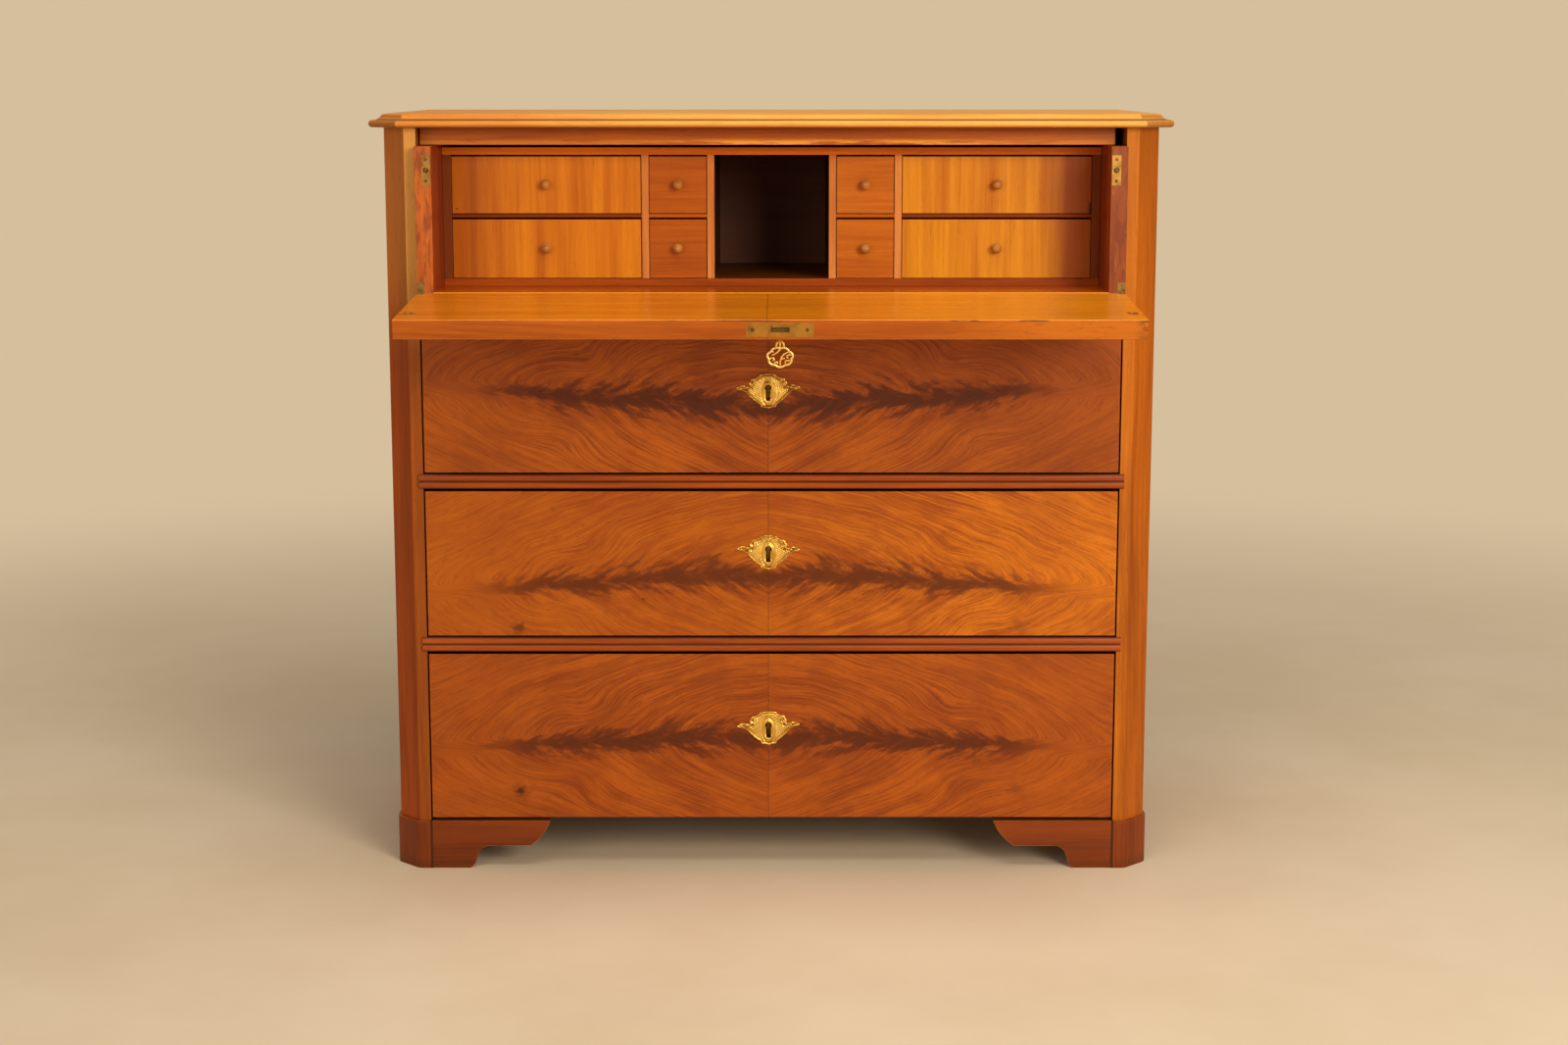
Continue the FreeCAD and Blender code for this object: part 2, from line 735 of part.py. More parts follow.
def make_hinge_bracket(plate):
    """Plate on the cheek's edge with an arm and an eye for the fall's pin."""
    arm = board(
        "hinge_arm_right", "drawer_half - hinge_width", "axis_y", "axis_z - hinge_arm_height / 2",
        "hinge_width", "cheek_y - axis_y", "hinge_arm_height",
    )
    eye = rod(
        "hinge_eye_right", "X", "drawer_half - hinge_width", "axis_y", "axis_z",
        "hinge_eye_radius", "hinge_width",
    )
    hole = rod(
        "hinge_hole_right", "X", "drawer_half - hinge_width - overrun", "axis_y", "axis_z",
        "pin_radius + pin_clear", "hinge_width + 2 * overrun",
    )
    right = cut("hinge_bracket_right", fuse("hinge_forging_right", [plate, arm, eye]), [hole])
    return group("hinge_brackets", [right, mirror("hinge_bracket_left", right)])


def catch_plate():
    return board(
        "catch_blank_right", "catch_x - catch_width / 2", "cheek_y", "catch_z - catch_height / 2",
        "catch_width", "catch_thick", "catch_height",
    )


def make_catch_plates(blank):
    hole = rod(
        "catch_hole_right", "Y", "catch_x", "cheek_y - overrun", "catch_z", "latch_bore", "2 * overrun",
    )
    right = cut("catch_plate_right", blank, [hole])
    return group("catch_plates", [right, mirror("catch_plate_left", right)])


def make_latch():
    """Sprung nose that stands out of the catch plate."""
    body = rod(
        "latch_body_right", "Y", "catch_x", "cheek_y - latch_proud + latch_nose", "catch_z",
        "latch_radius", "latch_length - latch_nose",
    )
    nose = doc.addObject("Part::Cone", "latch_nose_right")
    bind(nose, Radius1="latch_tip_radius", Radius2="latch_radius", Height="latch_nose")
    lay_along(nose, "Y")
    place(nose, "catch_x", "cheek_y - latch_proud", "catch_z")
    return fuse("catch_latch_right", [body, nose])


def make_nest():
    """Base, top, uprights and shelves of the fitted nest."""
    base = board(
        "nest_base", "-nest_half", "nest_y", "writing_z", "2 * nest_half", "nest_depth", "nest_base_thick",
    )
    top = board(
        "nest_top", "-nest_half", "nest_y", "nest_top_z", "2 * nest_half", "nest_depth", "nest_top_thick",
    )
    tall = "nest_top_z - till_floor_z"
    uprights = []
    places = {
        "nest_end": ("nest_half - nest_end_thick", "nest_end_thick"),
        "outer_partition": ("large_x - partition_thick", "partition_thick"),
        "inner_partition": ("small_x - partition_thick", "partition_thick"),
    }
    for name, (x, thick) in places.items():
        uprights += both_sides(name, x, "nest_y", "till_floor_z", thick, "nest_depth", tall)
    shelves = []
    columns = {
        "shelf_small": ("small_x", "till_small_width"),
        "shelf_large": ("large_x", "till_large_width"),
    }
    for name, (x, width) in columns.items():
        shelves += both_sides(name, x, "nest_y", "shelf_z", width, "nest_depth", "shelf_thick")
    return [base, top, group("nest_partitions", uprights), group("nest_shelves", shelves)]


def make_knob(name, x, z):
    """Turned knob on a till front."""
    head = str(KNOB_HEAD_SHARE) + " * knob_length"
    crown = str(KNOB_CROWN_SHARE) + " * knob_radius"
    neck_top = "-(knob_foot_height + knob_neck_height)"
    corners = [
        ("0", "0"),
        ("0", "-knob_length", crown, True),
        ("knob_radius", "-" + head),
        ("knob_neck_radius", neck_top),
        ("knob_neck_radius", "-knob_foot_height"),
        ("knob_foot_radius", "-knob_foot_height"),
        ("knob_foot_radius", "0"),
    ]
    body = doc.addObject("PartDesign::Body", name)
    sketch = sketch_on(body, name + "_outline", "XY_Plane")
    outline(sketch, corners)
    spin = body.newObject("PartDesign::Revolution", name + "_turning")
    spin.Profile = sketch
    spin.ReferenceAxis = (sketch, ["V_Axis"])
    spin.Angle = FULL_TURN
    return place(body, x, "nest_y", z)


def make_till(name, x, z, width, height):
    """Small drawer: a front with its knob, and a box of thin boards."""
    low_x = x + " + till_gap"
    low_z = z + " + slide_clear"
    wide = width + " - 2 * till_gap"
    plank = board(
        name + "_plank", low_x, "nest_y", z + " + till_gap",
        wide, "till_front_thick", height + " - 2 * till_gap - till_head_clear",
    )
    knob = make_knob(name + "_knob", x + " + (" + width + ") / 2", z + " + (" + height + ") / 2")
    front = group(name + "_front", [plank, knob])
    box_y = "nest_y + till_front_thick"
    side_height = height + " - till_side_drop"
    far_x = low_x + " + " + wide + " - till_side_thick"
    inside_x = low_x + " + till_side_thick"
    inside = wide + " - 2 * till_side_thick"
    left = board(name + "_side_left", low_x, box_y, low_z, "till_side_thick", "till_depth", side_height)
    right = board(name + "_side_right", far_x, box_y, low_z, "till_side_thick", "till_depth", side_height)
    bottom = board(name + "_bottom", inside_x, box_y, low_z, inside, "till_depth", "till_bottom_thick")
    back = board(
        name + "_back", inside_x, box_y + " + till_depth - till_side_thick", low_z + " + till_bottom_thick",
        inside, "till_side_thick", side_height + " - till_bottom_thick",
    )
    return [front, group(name + "_box", [left, right, bottom, back])]


def hang(item):
    """Set a piece made about the hinge axis, upright, at the fall's open rest."""
    return turn(place(item, "0", "axis_y", "axis_z"), FreeCAD.Vector(1, 0, 0), "fall_angle")


def fall_case_box(name):
    return board(
        name, "lock_offset - lock_case_width / 2", "-lock_case_depth / 2", "fall_top - lock_case_height",
        "lock_case_width", "lock_case_depth", "lock_case_height - lock_plate_thick",
    )


def fall_plate_box(name):
    return board(
        name, "lock_offset - lock_plate_width / 2", "-lock_plate_depth / 2", "fall_top - lock_plate_thick",
        "lock_plate_width", "lock_plate_depth", "lock_plate_thick",
    )


def make_fall_board():
    """The fall: rounded on its hinge edge, let in for lock, hinges, pins and strikers."""
    radius = "fall_radius"
    arris = "fall_arris"
    corners = [
        ("-fall_radius", "0", radius, True),
        ("0", "-fall_radius", radius, True),
        ("fall_radius", "0"),
        ("fall_radius", "fall_top - fall_arris", arris, True),
        ("fall_radius - fall_arris", "fall_top"),
        ("-fall_radius + fall_arris", "fall_top", arris, True),
        ("-fall_radius", "fall_top - fall_arris"),
    ]
    half = "(drawer_half - fall_end_clear)"
    blank = place(profile("fall_blank", "YZ_Plane", corners, "2 * " + half), "-" + half)
    notch = "hinge_eye_radius + hinge_notch_clear"
    hinge_let = board(
        "hinge_let_right",
        "drawer_half - hinge_width - hinge_side_clear", "-(" + notch + ")", "-fall_thick",
        "hinge_width + hinge_side_clear + overrun", "2 * fall_thick", "fall_thick + " + notch,
    )
    pin_let = pin_blank("pin_let_right")
    striker_let = striker_blank("striker_let_right")
    nose_let = rod(
        "nose_let_right", "Y", "catch_x", "fall_radius - striker_hole_depth", "catch_z - axis_z",
        "striker_hole_radius", "striker_hole_depth + overrun",
    )
    right = fuse("fall_lets_right", [hinge_let, pin_let, striker_let, nose_let])
    hole = keyhole_cut(
        "fall_keyhole", "lock_offset", "-fall_thick", "key_z - keyhole_drop / 3", "fall_thick",
    )
    lock_sinks = [fall_case_box("fall_case_let"), fall_plate_box("fall_plate_let"), hole]
    lock_lets = fuse("fall_lock_lets", lock_sinks)
    return hang(cut("fall_board", blank, [right, mirror("fall_lets_left", right), lock_lets]))


def pin_blank(name):
    return rod(
        name, "X", "drawer_half - hinge_width - hinge_side_clear - pin_seat", "0", "0",
        "pin_radius", "pin_seat + hinge_side_clear + hinge_width",
    )


def striker_blank(name):
    return board(
        name,
        "catch_x - striker_width / 2", "fall_radius - catch_thick", "catch_z - axis_z - striker_height / 2",
        "striker_width", "catch_thick", "striker_height",
    )


def make_fall_fittings():
    """Pins, strikers, lock, bolt, escutcheon and key carried by the fall."""
    pin = pin_blank("hinge_pin_right")
    pins = group("hinge_pins", [pin, mirror("hinge_pin_left", pin)])
    hole = rod(
        "striker_hole_right", "Y", "catch_x", "fall_radius - striker_hole_depth", "catch_z - axis_z",
        "striker_hole_radius", "striker_hole_depth + overrun",
    )
    striker = cut("striker_right", striker_blank("striker_blank_right"), [hole])
    strikers = group("fall_strikers", [striker, mirror("striker_left", striker)])
    slot = bolt_box("bolt_slot", "bolt_clear", "bolt_length + bolt_clear + overrun")
    barrel = rod(
        "key_barrel", "Y", "lock_offset", "-lock_case_depth", "key_z", "key_sweep", "2 * lock_case_depth",
    )
    barrel_limit = board(
        "key_barrel_limit", "lock_offset - key_sweep", "-lock_case_depth", "key_z - key_sweep",
        "2 * key_sweep", "3 * lock_case_depth / 2 - key_bit_clear", "2 * key_sweep",
    )
    room = doc.addObject("Part::MultiCommon", "key_room")
    room.Shapes = [barrel, barrel_limit]
    lock_blank = fuse("fall_lock_blank", [fall_case_box("fall_case"), fall_plate_box("fall_plate")])
    lock = cut("fall_lock", lock_blank, [fuse("fall_lock_rooms", [slot, room])])
    bolt = group("fall_bolt", [bolt_box("bolt_bar", "0", "bolt_length")])
    shield = group("fall_escutcheon", [
        escutcheon("fall_shield", "lock_offset", "-fall_radius", "key_z - keyhole_drop / 3"),
    ])
    return [hang(item) for item in (pins, strikers, lock, bolt, shield, make_key())]


def bolt_box(name, clear, length):
    grow = " + 2 * " + clear
    return board(
        name, "lock_offset - bolt_width / 2 - " + clear, "-bolt_thick / 2 - " + clear,
        "fall_top - bolt_sunk - bolt_length - " + clear, "bolt_width" + grow, "bolt_thick" + grow, length,
    )


def make_key():
    """Key with a pierced round bow, left in the fall's lock."""
    bow = rod(
        "key_bow_disc", "Z", "lock_offset", "key_bow_y", "key_z - key_bow_thick / 2",
        "key_bow_radius", "key_bow_thick",
    )
    ring = str(KEY_HOLE_RING_SHARE) + " * key_bow_radius"
    holes = []
    for index in range(KEY_HOLE_COUNT):
        angle = str(index * FULL_TURN / KEY_HOLE_COUNT)
        holes.append(rod(
            "key_bow_hole_" + str(index + 1), "Z",
            "lock_offset + " + ring + " * cos(" + angle + ")",
            "key_bow_y + " + ring + " * sin(" + angle + ")",
            "key_z - key_bow_thick", str(KEY_HOLE_RADIUS_SHARE) + " * key_bow_radius - key_bow_rim / 2",
            "2 * key_bow_thick",
        ))
    pierced = cut("key_bow", bow, holes)
    collar = rod(
        "key_collar", "Y", "lock_offset", "key_y - key_collar_length", "key_z",
        "key_collar_radius", "key_collar_length",
    )
    shaft = rod(
        "key_shaft", "Y", "lock_offset", "key_y - key_collar_length", "key_z", "key_shaft_radius",
        "lock_case_depth / 2 - 2 * key_bit_clear - key_y + key_collar_length",
    )
    bit = board(
        "key_bit", "lock_offset - key_bit_width / 2",
        "lock_case_depth / 2 - 2 * key_bit_clear - key_bit_depth",
        "key_z - key_shaft_radius - key_bit_length", "key_bit_width", "key_bit_depth",
        "key_shaft_radius + key_bit_length",
    )
    return fuse("key", [pierced, collar, shaft, bit])


def make_case():
    post = make_post()
    side = make_side()
    foot = make_front_foot()
    bottom = board(
        "bottom_board", "-inner_half", "front_y + post_depth", "level_3 - bottom_thick",
        "2 * inner_half", "case_depth - back_thick - post_depth", "bottom_thick",
    )
    frieze = board(
        "frieze_rail",
        "-opening_width / 2 + frieze_inset_left", "front_y + fall_thick + frieze_clear", "frieze_z",
        "opening_width - frieze_inset_left - frieze_inset", "frieze_thick", "frieze_height",
    )
    return [
        make_top(), frieze, side, mirror("side_panel_left", side), post, mirror("corner_post_left", post),
        make_back(), bottom, make_rails(), make_runners(), foot, mirror("front_foot_left", foot),
        make_rear_feet(),
    ]


def make_secretaire():
    plate = hinge_plate()
    catch = catch_plate()
    cheek = make_cheek(plate, catch)
    latch = make_latch()
    bed = board(
        "writing_bed", "-nest_half", "cheek_y", "bed_z",
        "2 * nest_half", "secretaire_depth - secretaire_back_thick", "fall_thick",
    )
    back = board(
        "secretaire_back", "-nest_half", "cheek_y + secretaire_depth - secretaire_back_thick", "bed_z",
        "2 * nest_half", "secretaire_back_thick", "cheek_height - secretaire_back_drop",
    )
    pieces = [
        cheek, mirror("cheek_left", cheek), bed, back, make_catch_plates(catch), make_hinge_bracket(plate),
    ]
    return pieces + make_nest() + [latch, mirror("catch_latch_left", latch)]


def make_tills():
    columns = {
        "far_left": ("-large_x - till_large_width", "till_large_width"),
        "near_left": ("-small_x - till_small_width", "till_small_width"),
        "near_right": ("small_x", "till_small_width"),
        "far_right": ("large_x", "till_large_width"),
    }
    rows = {"upper": ("till_upper_z", "till_upper_height"), "lower": ("till_floor_z", "till_lower_height")}
    pieces = []
    for column, (x, width) in columns.items():
        for row, (z, height) in rows.items():
            pieces += make_till("till_" + column + "_" + row, x, z, width, height)
    return pieces


nodes = make_case() + make_secretaire() + [make_fall_board()] + make_fall_fittings() + make_tills()
for drawer in (1, 2, 3):
    nodes += make_long_drawer(drawer)
doc.recompute()

# Every object has to be sound before anything is written
for item in doc.Objects:
    if "Invalid" in item.State or "Error" in item.State:
        raise RuntimeError(item.Label + " failed to build")
for item in nodes:
    if item.Shape.isNull() or not item.Shape.isValid() or not item.Shape.Solids:
        raise RuntimeError(item.Label + " has no sound solid")

os.makedirs("parts", exist_ok=True)
for item in nodes:
    item.Shape.exportStep("parts/" + item.Label + ".step")
    print(item.Label, len(item.Shape.Solids), round(item.Shape.Volume))
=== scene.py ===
import json
import math

import bpy
from mathutils import Matrix, Vector
from mathutils.geometry import delaunay_2d_cdt


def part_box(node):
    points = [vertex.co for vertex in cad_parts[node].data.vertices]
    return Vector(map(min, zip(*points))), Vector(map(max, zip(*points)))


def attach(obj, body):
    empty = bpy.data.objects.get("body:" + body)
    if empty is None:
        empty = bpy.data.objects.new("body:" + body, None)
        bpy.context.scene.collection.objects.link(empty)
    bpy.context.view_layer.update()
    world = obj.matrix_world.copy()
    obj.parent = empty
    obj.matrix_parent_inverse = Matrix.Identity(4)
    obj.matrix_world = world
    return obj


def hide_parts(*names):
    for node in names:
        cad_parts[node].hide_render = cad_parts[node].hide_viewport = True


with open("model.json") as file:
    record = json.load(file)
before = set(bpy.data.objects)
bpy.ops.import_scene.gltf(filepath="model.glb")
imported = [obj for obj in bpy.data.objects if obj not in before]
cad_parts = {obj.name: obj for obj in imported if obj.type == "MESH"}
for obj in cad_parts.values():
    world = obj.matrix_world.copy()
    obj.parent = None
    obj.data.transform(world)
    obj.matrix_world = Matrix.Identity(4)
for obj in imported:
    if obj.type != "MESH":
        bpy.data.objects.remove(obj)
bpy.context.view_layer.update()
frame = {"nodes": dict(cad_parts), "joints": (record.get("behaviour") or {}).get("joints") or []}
NODES = frame["nodes"]
MM = 0.001

# Sizes and places that the frame doesn't hold
FALL_THICK = 0.025
COVE_FOOT = 0.0102  # above the top's underside
WEAR_X = 0.09  # middle of the frieze's worn stretch
NEST_END_X = 0.432  # where the nest's end posts begin
PIGEONHOLE_HALF = 0.0783
BACK_COUNT = 5

# Places read from the frame
JOINTS = {joint["name"]: joint for joint in frame["joints"]}
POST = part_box("corner_post_right")
OPENING_HALF, FRONT_Y, POST_BACK_Y = POST[0][0], POST[0][1], POST[1][1]
NEST_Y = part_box("nest_base")[0][1]
SEAM_X = sum(corner[0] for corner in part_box("drawer_1_escutcheon")) / 2
LOCK_X = JOINTS["key_turn"]["pos_m"][0]
FALL_DROP = math.radians(-JOINTS["fall_hinge"]["range_deg"][0])
FALL_TURN = Matrix.Translation(JOINTS["fall_hinge"]["pos_m"]) @ Matrix.Rotation(FALL_DROP, 4, "X")


def shade(red, green, blue):
    """A colour as the eye reads it, 0 to 255, in the renderer's linear values."""
    parts = [value / 255 for value in (red, green, blue)]
    return [part / 12.92 if part <= 0.04045 else ((part + 0.055) / 1.055) ** 2.4 for part in parts] + [1]


GAP_SHADE = (58, 24, 10)  # painted shade for faces that only look into gaps between parts


class Paint:
    """One procedural material, built node by node."""

    def __init__(self, name):
        self.material = bpy.data.materials.new(name)
        self.material.use_nodes = True
        self.nodes = self.material.node_tree.nodes
        self.links = self.material.node_tree.links
        self.surface = self.nodes["Principled BSDF"]
        places = self.make("TexCoord").outputs
        self.place, self.facing = self.split(places["Object"]), self.split(places["Normal"])

    def feed(self, socket, value):
        """Link or set a socket; three values are a colour as the eye reads it."""
        if isinstance(value, bpy.types.NodeSocket):
            self.links.new(value, socket)
        elif isinstance(value, (tuple, list)) and len(value) == 3:
            socket.default_value = shade(*value)
        else:
            socket.default_value = value

    def fill(self, node, values):
        """Feed a node's sockets, with _ for a space in a name."""
        for key, value in values.items():
            self.feed(node.inputs[key.replace("_", " ")], value)
        return node

    def make(self, kind, **values):
        """A new node with its sockets fed."""
        return self.fill(self.nodes.new("ShaderNode" + kind), values)

    def fix(self, **values):
        """Feed the shader's own sockets."""
        self.fill(self.surface, values)

    def calc(self, operation, *values):
        node = self.make("Math")
        node.operation = operation
        for socket, value in zip(node.inputs, values):
            self.feed(socket, value)
        return node.outputs[0]

    def chain(self, operation, values):
        """One operation over several values."""
        result, *rest = values
        for value in rest:
            result = self.calc(operation, result, value)
        return result

    def times(self, *values):
        return self.chain("MULTIPLY", values)

    def total(self, *values):
        """Sum of values, where a tuple is a product."""
        values = [self.times(*value) if isinstance(value, tuple) else value for value in values]
        return self.chain("ADD", values)

    def less(self, value):
        """What a value leaves of 1."""
        return self.total(1, (value, -1))

    def away(self, value, place):
        """Distance from a place."""
        return self.calc("ABSOLUTE", self.total(value, -place))

    def split(self, vector):
        return list(self.make("SeparateXYZ", Vector=vector).outputs)

    def noise(self, x, y, z, detail=3, rough=0.55):
        """Noise from about 0.2 to 0.8; an axis may be a value with its scale and its shift."""
        x, y, z = [
            self.total(axis[:2], *axis[2:]) if isinstance(axis, tuple) else axis for axis in (x, y, z)
        ]
        place = self.make("CombineXYZ", X=x, Y=y, Z=z).outputs[0]
        return self.make("TexNoise", Vector=place, Scale=1, Detail=detail, Roughness=rough).outputs["Fac"]

    def mottle(self, scale, detail=3, rough=0.55):
        """Noise of one scale in every direction."""
        return self.noise(*[(axis, scale) for axis in self.place], detail, rough)

    def step(self, value, low, high, first=0, last=1):
        """Ease from first to last as value goes from low to high."""
        node = self.make("MapRange", Value=value, From_Min=low, From_Max=high, To_Min=first, To_Max=last)
        node.interpolation_type = "SMOOTHSTEP"
        return node.outputs[0]

    def mix(self, factor, first, second, blend="MIX"):
        """Blend two colours; a tuple as factor is a product."""
        if isinstance(factor, tuple):
            factor = self.times(*factor)
        node = self.make("Mix")
        node.data_type = "RGBA"
        node.blend_type = blend
        for index, value in ((0, factor), (6, first), (7, second)):
            self.feed(node.inputs[index], value)
        return node.outputs[2]

    def bump(self, height, strength, distance):
        self.fix(Normal=self.make("Bump", Strength=strength, Distance=distance, Height=height).outputs[0])


# Wood

def straight(paint, along, across, depth, seed, figure=1.0):
    """Straight grain: returns broad tone, fine tone and pores, each from 0 to 1."""
    wander = paint.noise((along, 1.6), (across, 5), (depth, 5, seed), 2)
    sway = paint.times(paint.total(wander, -0.5), 0.03 * figure)
    across, depth = paint.total(across, sway), paint.total(depth, sway)
    broad = paint.noise((along, 1.8), (across, 26), (depth, 26, seed), 3)
    fine = paint.noise((along, 7), (across, 210), (depth, 210, seed), 5, 0.62)
    pores = paint.noise((along, 55), (across, 1300), (depth, 1300, seed), 2)
    return paint.step(broad, 0.32, 0.68), paint.step(fine, 0.3, 0.7), paint.step(pores, 0.6, 0.74)


def toned(paint, axes, seed, share=0.6):
    """Straight grain with its stripes and fibre in one tone: tone, fine tone and pores."""
    broad, fine, pores = straight(paint, *axes, seed)
    return paint.total((broad, share), (fine, 1 - share)), fine, pores


def grained(paint, axes, seed, dark, light, pore, fill=0.45, share=0.6):
    """Straight grain between two colours, with pores of a third: colour, fine tone and pores."""
    tone, fine, pores = toned(paint, axes, seed, share)
    return paint.mix((pores, fill), paint.mix(tone, dark, light), pore), fine, pores


def finish_wood(paint, colour, fine, pores, gloss, shine=0.24, coat=0.03, amber=0.22):
    """Amber varnish over the colour: pores and fibre show in the roughness and the bump."""
    smudge = paint.mottle(14)
    rough = paint.total((fine, 0.08), (pores, 0.14), (smudge, 0.16), gloss)
    paint.fix(Base_Color=paint.mix(1, colour, (1, 0.97, amber, 1), "MULTIPLY"), Roughness=rough)
    paint.fix(Coat_Weight=coat, Coat_Roughness=0.14, Specular_IOR_Level=shine)
    paint.bump(paint.total((fine, 0.5), (pores, -1)), 0.12, 0.0004)
    return paint.material


def finish_bare(paint, colour, fine, pores, rough, strength, depth):
    """Unvarnished wood."""
    rough = paint.total(rough, (fine, 0.2))
    paint.fix(Base_Color=colour, Roughness=rough, Specular_IOR_Level=0.3)
    paint.bump(paint.total((fine, 0.5), (pores, -1)), strength, depth)
    return paint.material


def rubbed_and_highlit_arrises(paint, colour, rubbed, amount=0.6):
    """Rubbed arrises, painted pale as wear and as a highlight: where the surface turns between two faces
    of the board.
    """
    turned = [paint.calc("ABSOLUTE", axis) for axis in paint.facing]
    edge = paint.step(paint.chain("MAXIMUM", turned), 0.985, 0.93)
    patchy = paint.step(paint.mottle(60), 0.3, 0.6, 0.35, 1)
    return paint.mix((edge, patchy, amount), colour, rubbed)


def arris(paint, radius):
    """1 along sharp edges, where the true normal and a rounded one part."""
    rounded = paint.make("Bevel", Radius=radius)
    rounded.samples = 8
    true = paint.make("NewGeometry").outputs["True Normal"]
    agree = paint.make("VectorMath")
    agree.operation = "DOT_PRODUCT"
    paint.links.new(rounded.outputs[0], agree.inputs[0])
    paint.links.new(true, agree.inputs[1])
    return paint.step(agree.outputs["Value"], 0.985, 0.9)


def pick(paint, grain):
    """Along, across and depth for a grain axis."""
    x, y, z = paint.place
    return {"X": (x, z, y), "Y": (y, z, x), "Z": (z, x, y)}[grain]


def side_material():
    """Plain upright grain with rubbed arrises."""
    paint = Paint("side_mahogany")
    tones = (140, 66, 22), (188, 100, 38), (58.8, 27.72, 9.24)
    colour, fine, pores = grained(paint, pick(paint, "Z"), 4.0, *tones)
    return finish_wood(paint, rubbed_and_highlit_arrises(paint, colour, (210.56, 112, 42.56)), fine, pores, 0.24)


def post_material(name, seed, cant, face, fade_and_sheen_span, fade_and_sheen_tint):
    """Upright grain, with fading and a painted sheen up the narrow front face, and painted shade where it
    looks into the drawer gaps.
    """
    paint = Paint(name + "_mahogany")
    x, y, z = paint.place
    tone, fine, pores = toned(paint, (z, x, y), seed)
    front = paint.step(paint.facing[1], -0.97, -0.85, 1, 0)
    cant, face = [paint.mix(tone, *ends) for ends in (cant, face)]
    colour = paint.mix(front, cant, face)
    # Pale band up the front face: sun fading and a painted sheen of reflected light.
    fade_and_sheen = paint.times(paint.step(z, *fade_and_sheen_span), paint.total(0.3, (front, 0.7)))
    colour = paint.mix(fade_and_sheen, colour, fade_and_sheen_tint)
    colour = paint.mix((pores, 0.45), colour, (56, 24, 9))
    # Painted shade on the faces that look into the drawer gaps, mostly left out at the top.
    gap_shade = paint.step(paint.calc("ABSOLUTE", x), OPENING_HALF + 0.0001, OPENING_HALF + 0.0007, 1, 0)
    colour = paint.mix((gap_shade, paint.step(z, 0.965, 0.985, 1, 0.15)), colour, GAP_SHADE)
    return finish_wood(paint, colour, fine, pores, 0.3, 0.18, 0)


def top_material():
    """Pale top, sun-bleached and painted lighter as lit from above, with dirt and painted shade along the
    cove's foot.
    """
    paint = Paint("top_mahogany")
    x, y, z = paint.place
    tone, fine, pores = toned(paint, (x, z, y), 1.0)
    # Paler tones than the other boards: sun bleaching and painted light from above.
    colour = paint.mix(tone, (205, 132, 54), (242, 181, 90))
    # Painted shade: the top grows darker towards its left end.
    colour = paint.mix(paint.step(x, -0.55, -0.12, 0.5, 0), colour, (204, 106, 32))
    colour = paint.mix((pores, 0.4), colour, (120, 62, 22))
    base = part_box("top_board")[0][2]
    # Dark line in the crease at the cove's foot: dirt and painted shade.
    joint = paint.step(paint.away(z, base + COVE_FOOT), 0.0004, 0.0018, 0.85, 0)
    colour = paint.mix(joint, colour, (120, 58, 18))
    # Painted shade under the nose, in the lowest 4 mm of the board.
    colour = paint.mix(paint.step(z, base + 0.0002, base + 0.004, 0.6, 0), colour, (112, 50, 18))
    # Painted shade on the faces of the canted corners, turned to the sides.
    cant = paint.calc("ABSOLUTE", paint.facing[0])
    colour = paint.mix(paint.step(cant, 0.25, 0.6, 0, 0.65), colour, (144, 84, 34))
    return finish_wood(paint, colour, fine, pores, 0.38, 0.14, 0, 0.85)


def frieze_material():
    """Level grain, with painted shadow under the top and the finish rubbed off in patches along the lower
    edge.
    """
    paint = Paint("frieze_mahogany")
    x, y, z = paint.place
    tones = (160, 78, 20), (212, 116, 35), (72, 34, 9)
    colour, fine, pores = grained(paint, (x, z, y), 2.5, *tones)
    low, high = [corner[2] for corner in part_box("frieze_rail")]
    # Painted shadow of the top's overhang, darkest at the top of the rail.
    colour = paint.mix(paint.step(z, low + 0.008, high, 0, 0.5), colour, (120, 50, 12))
    bare = paint.noise((x, 13), 6.1, (z, 150), 4, 0.65)
    middle = paint.step(paint.away(x, WEAR_X), 0.12, 0.26, 1, 0.3)
    strip = paint.step(z, low + 0.003, low + 0.009, 0.9, 0)
    bare = paint.times(strip, paint.step(bare, 0.36, 0.54), middle)
    colour = paint.mix(bare, colour, (246, 170, 104))
    return finish_wood(paint, colour, fine, pores, 0.26, amber=0.3)


def rail_material():
    """Level grain with painted shade in the reeds' grooves and on the faces inside the case."""
    paint = Paint("rail_mahogany")
    tones = (132, 53, 17), (184, 85, 29), (58, 24, 9)
    colour, fine, pores = grained(paint, pick(paint, "X"), 2.0, *tones)
    # Painted shade on faces turned up or down: the reeds' grooves and the faces inside the case.
    slope = paint.calc("ABSOLUTE", paint.facing[2])
    colour = paint.mix(paint.step(slope, 0.3, 0.72, 0, 0.9), colour, GAP_SHADE)
    return finish_wood(paint, colour, fine, pores, 0.24)


def swell(paint, across, up, place, size):
    """A soft round hill of height 1."""
    u = paint.times(paint.total(across, -place[0]), 1 / size[0])
    v = paint.times(paint.total(up, -place[1]), 1 / size[1])
    return paint.calc("EXPONENT", paint.times(paint.total((u, u), (v, v)), -1))


def rise(paint, half, rate, size):
    """Climbs from 0 at the seam towards size."""
    return paint.times(paint.less(paint.calc("EXPONENT", paint.times(half, -rate))), size)


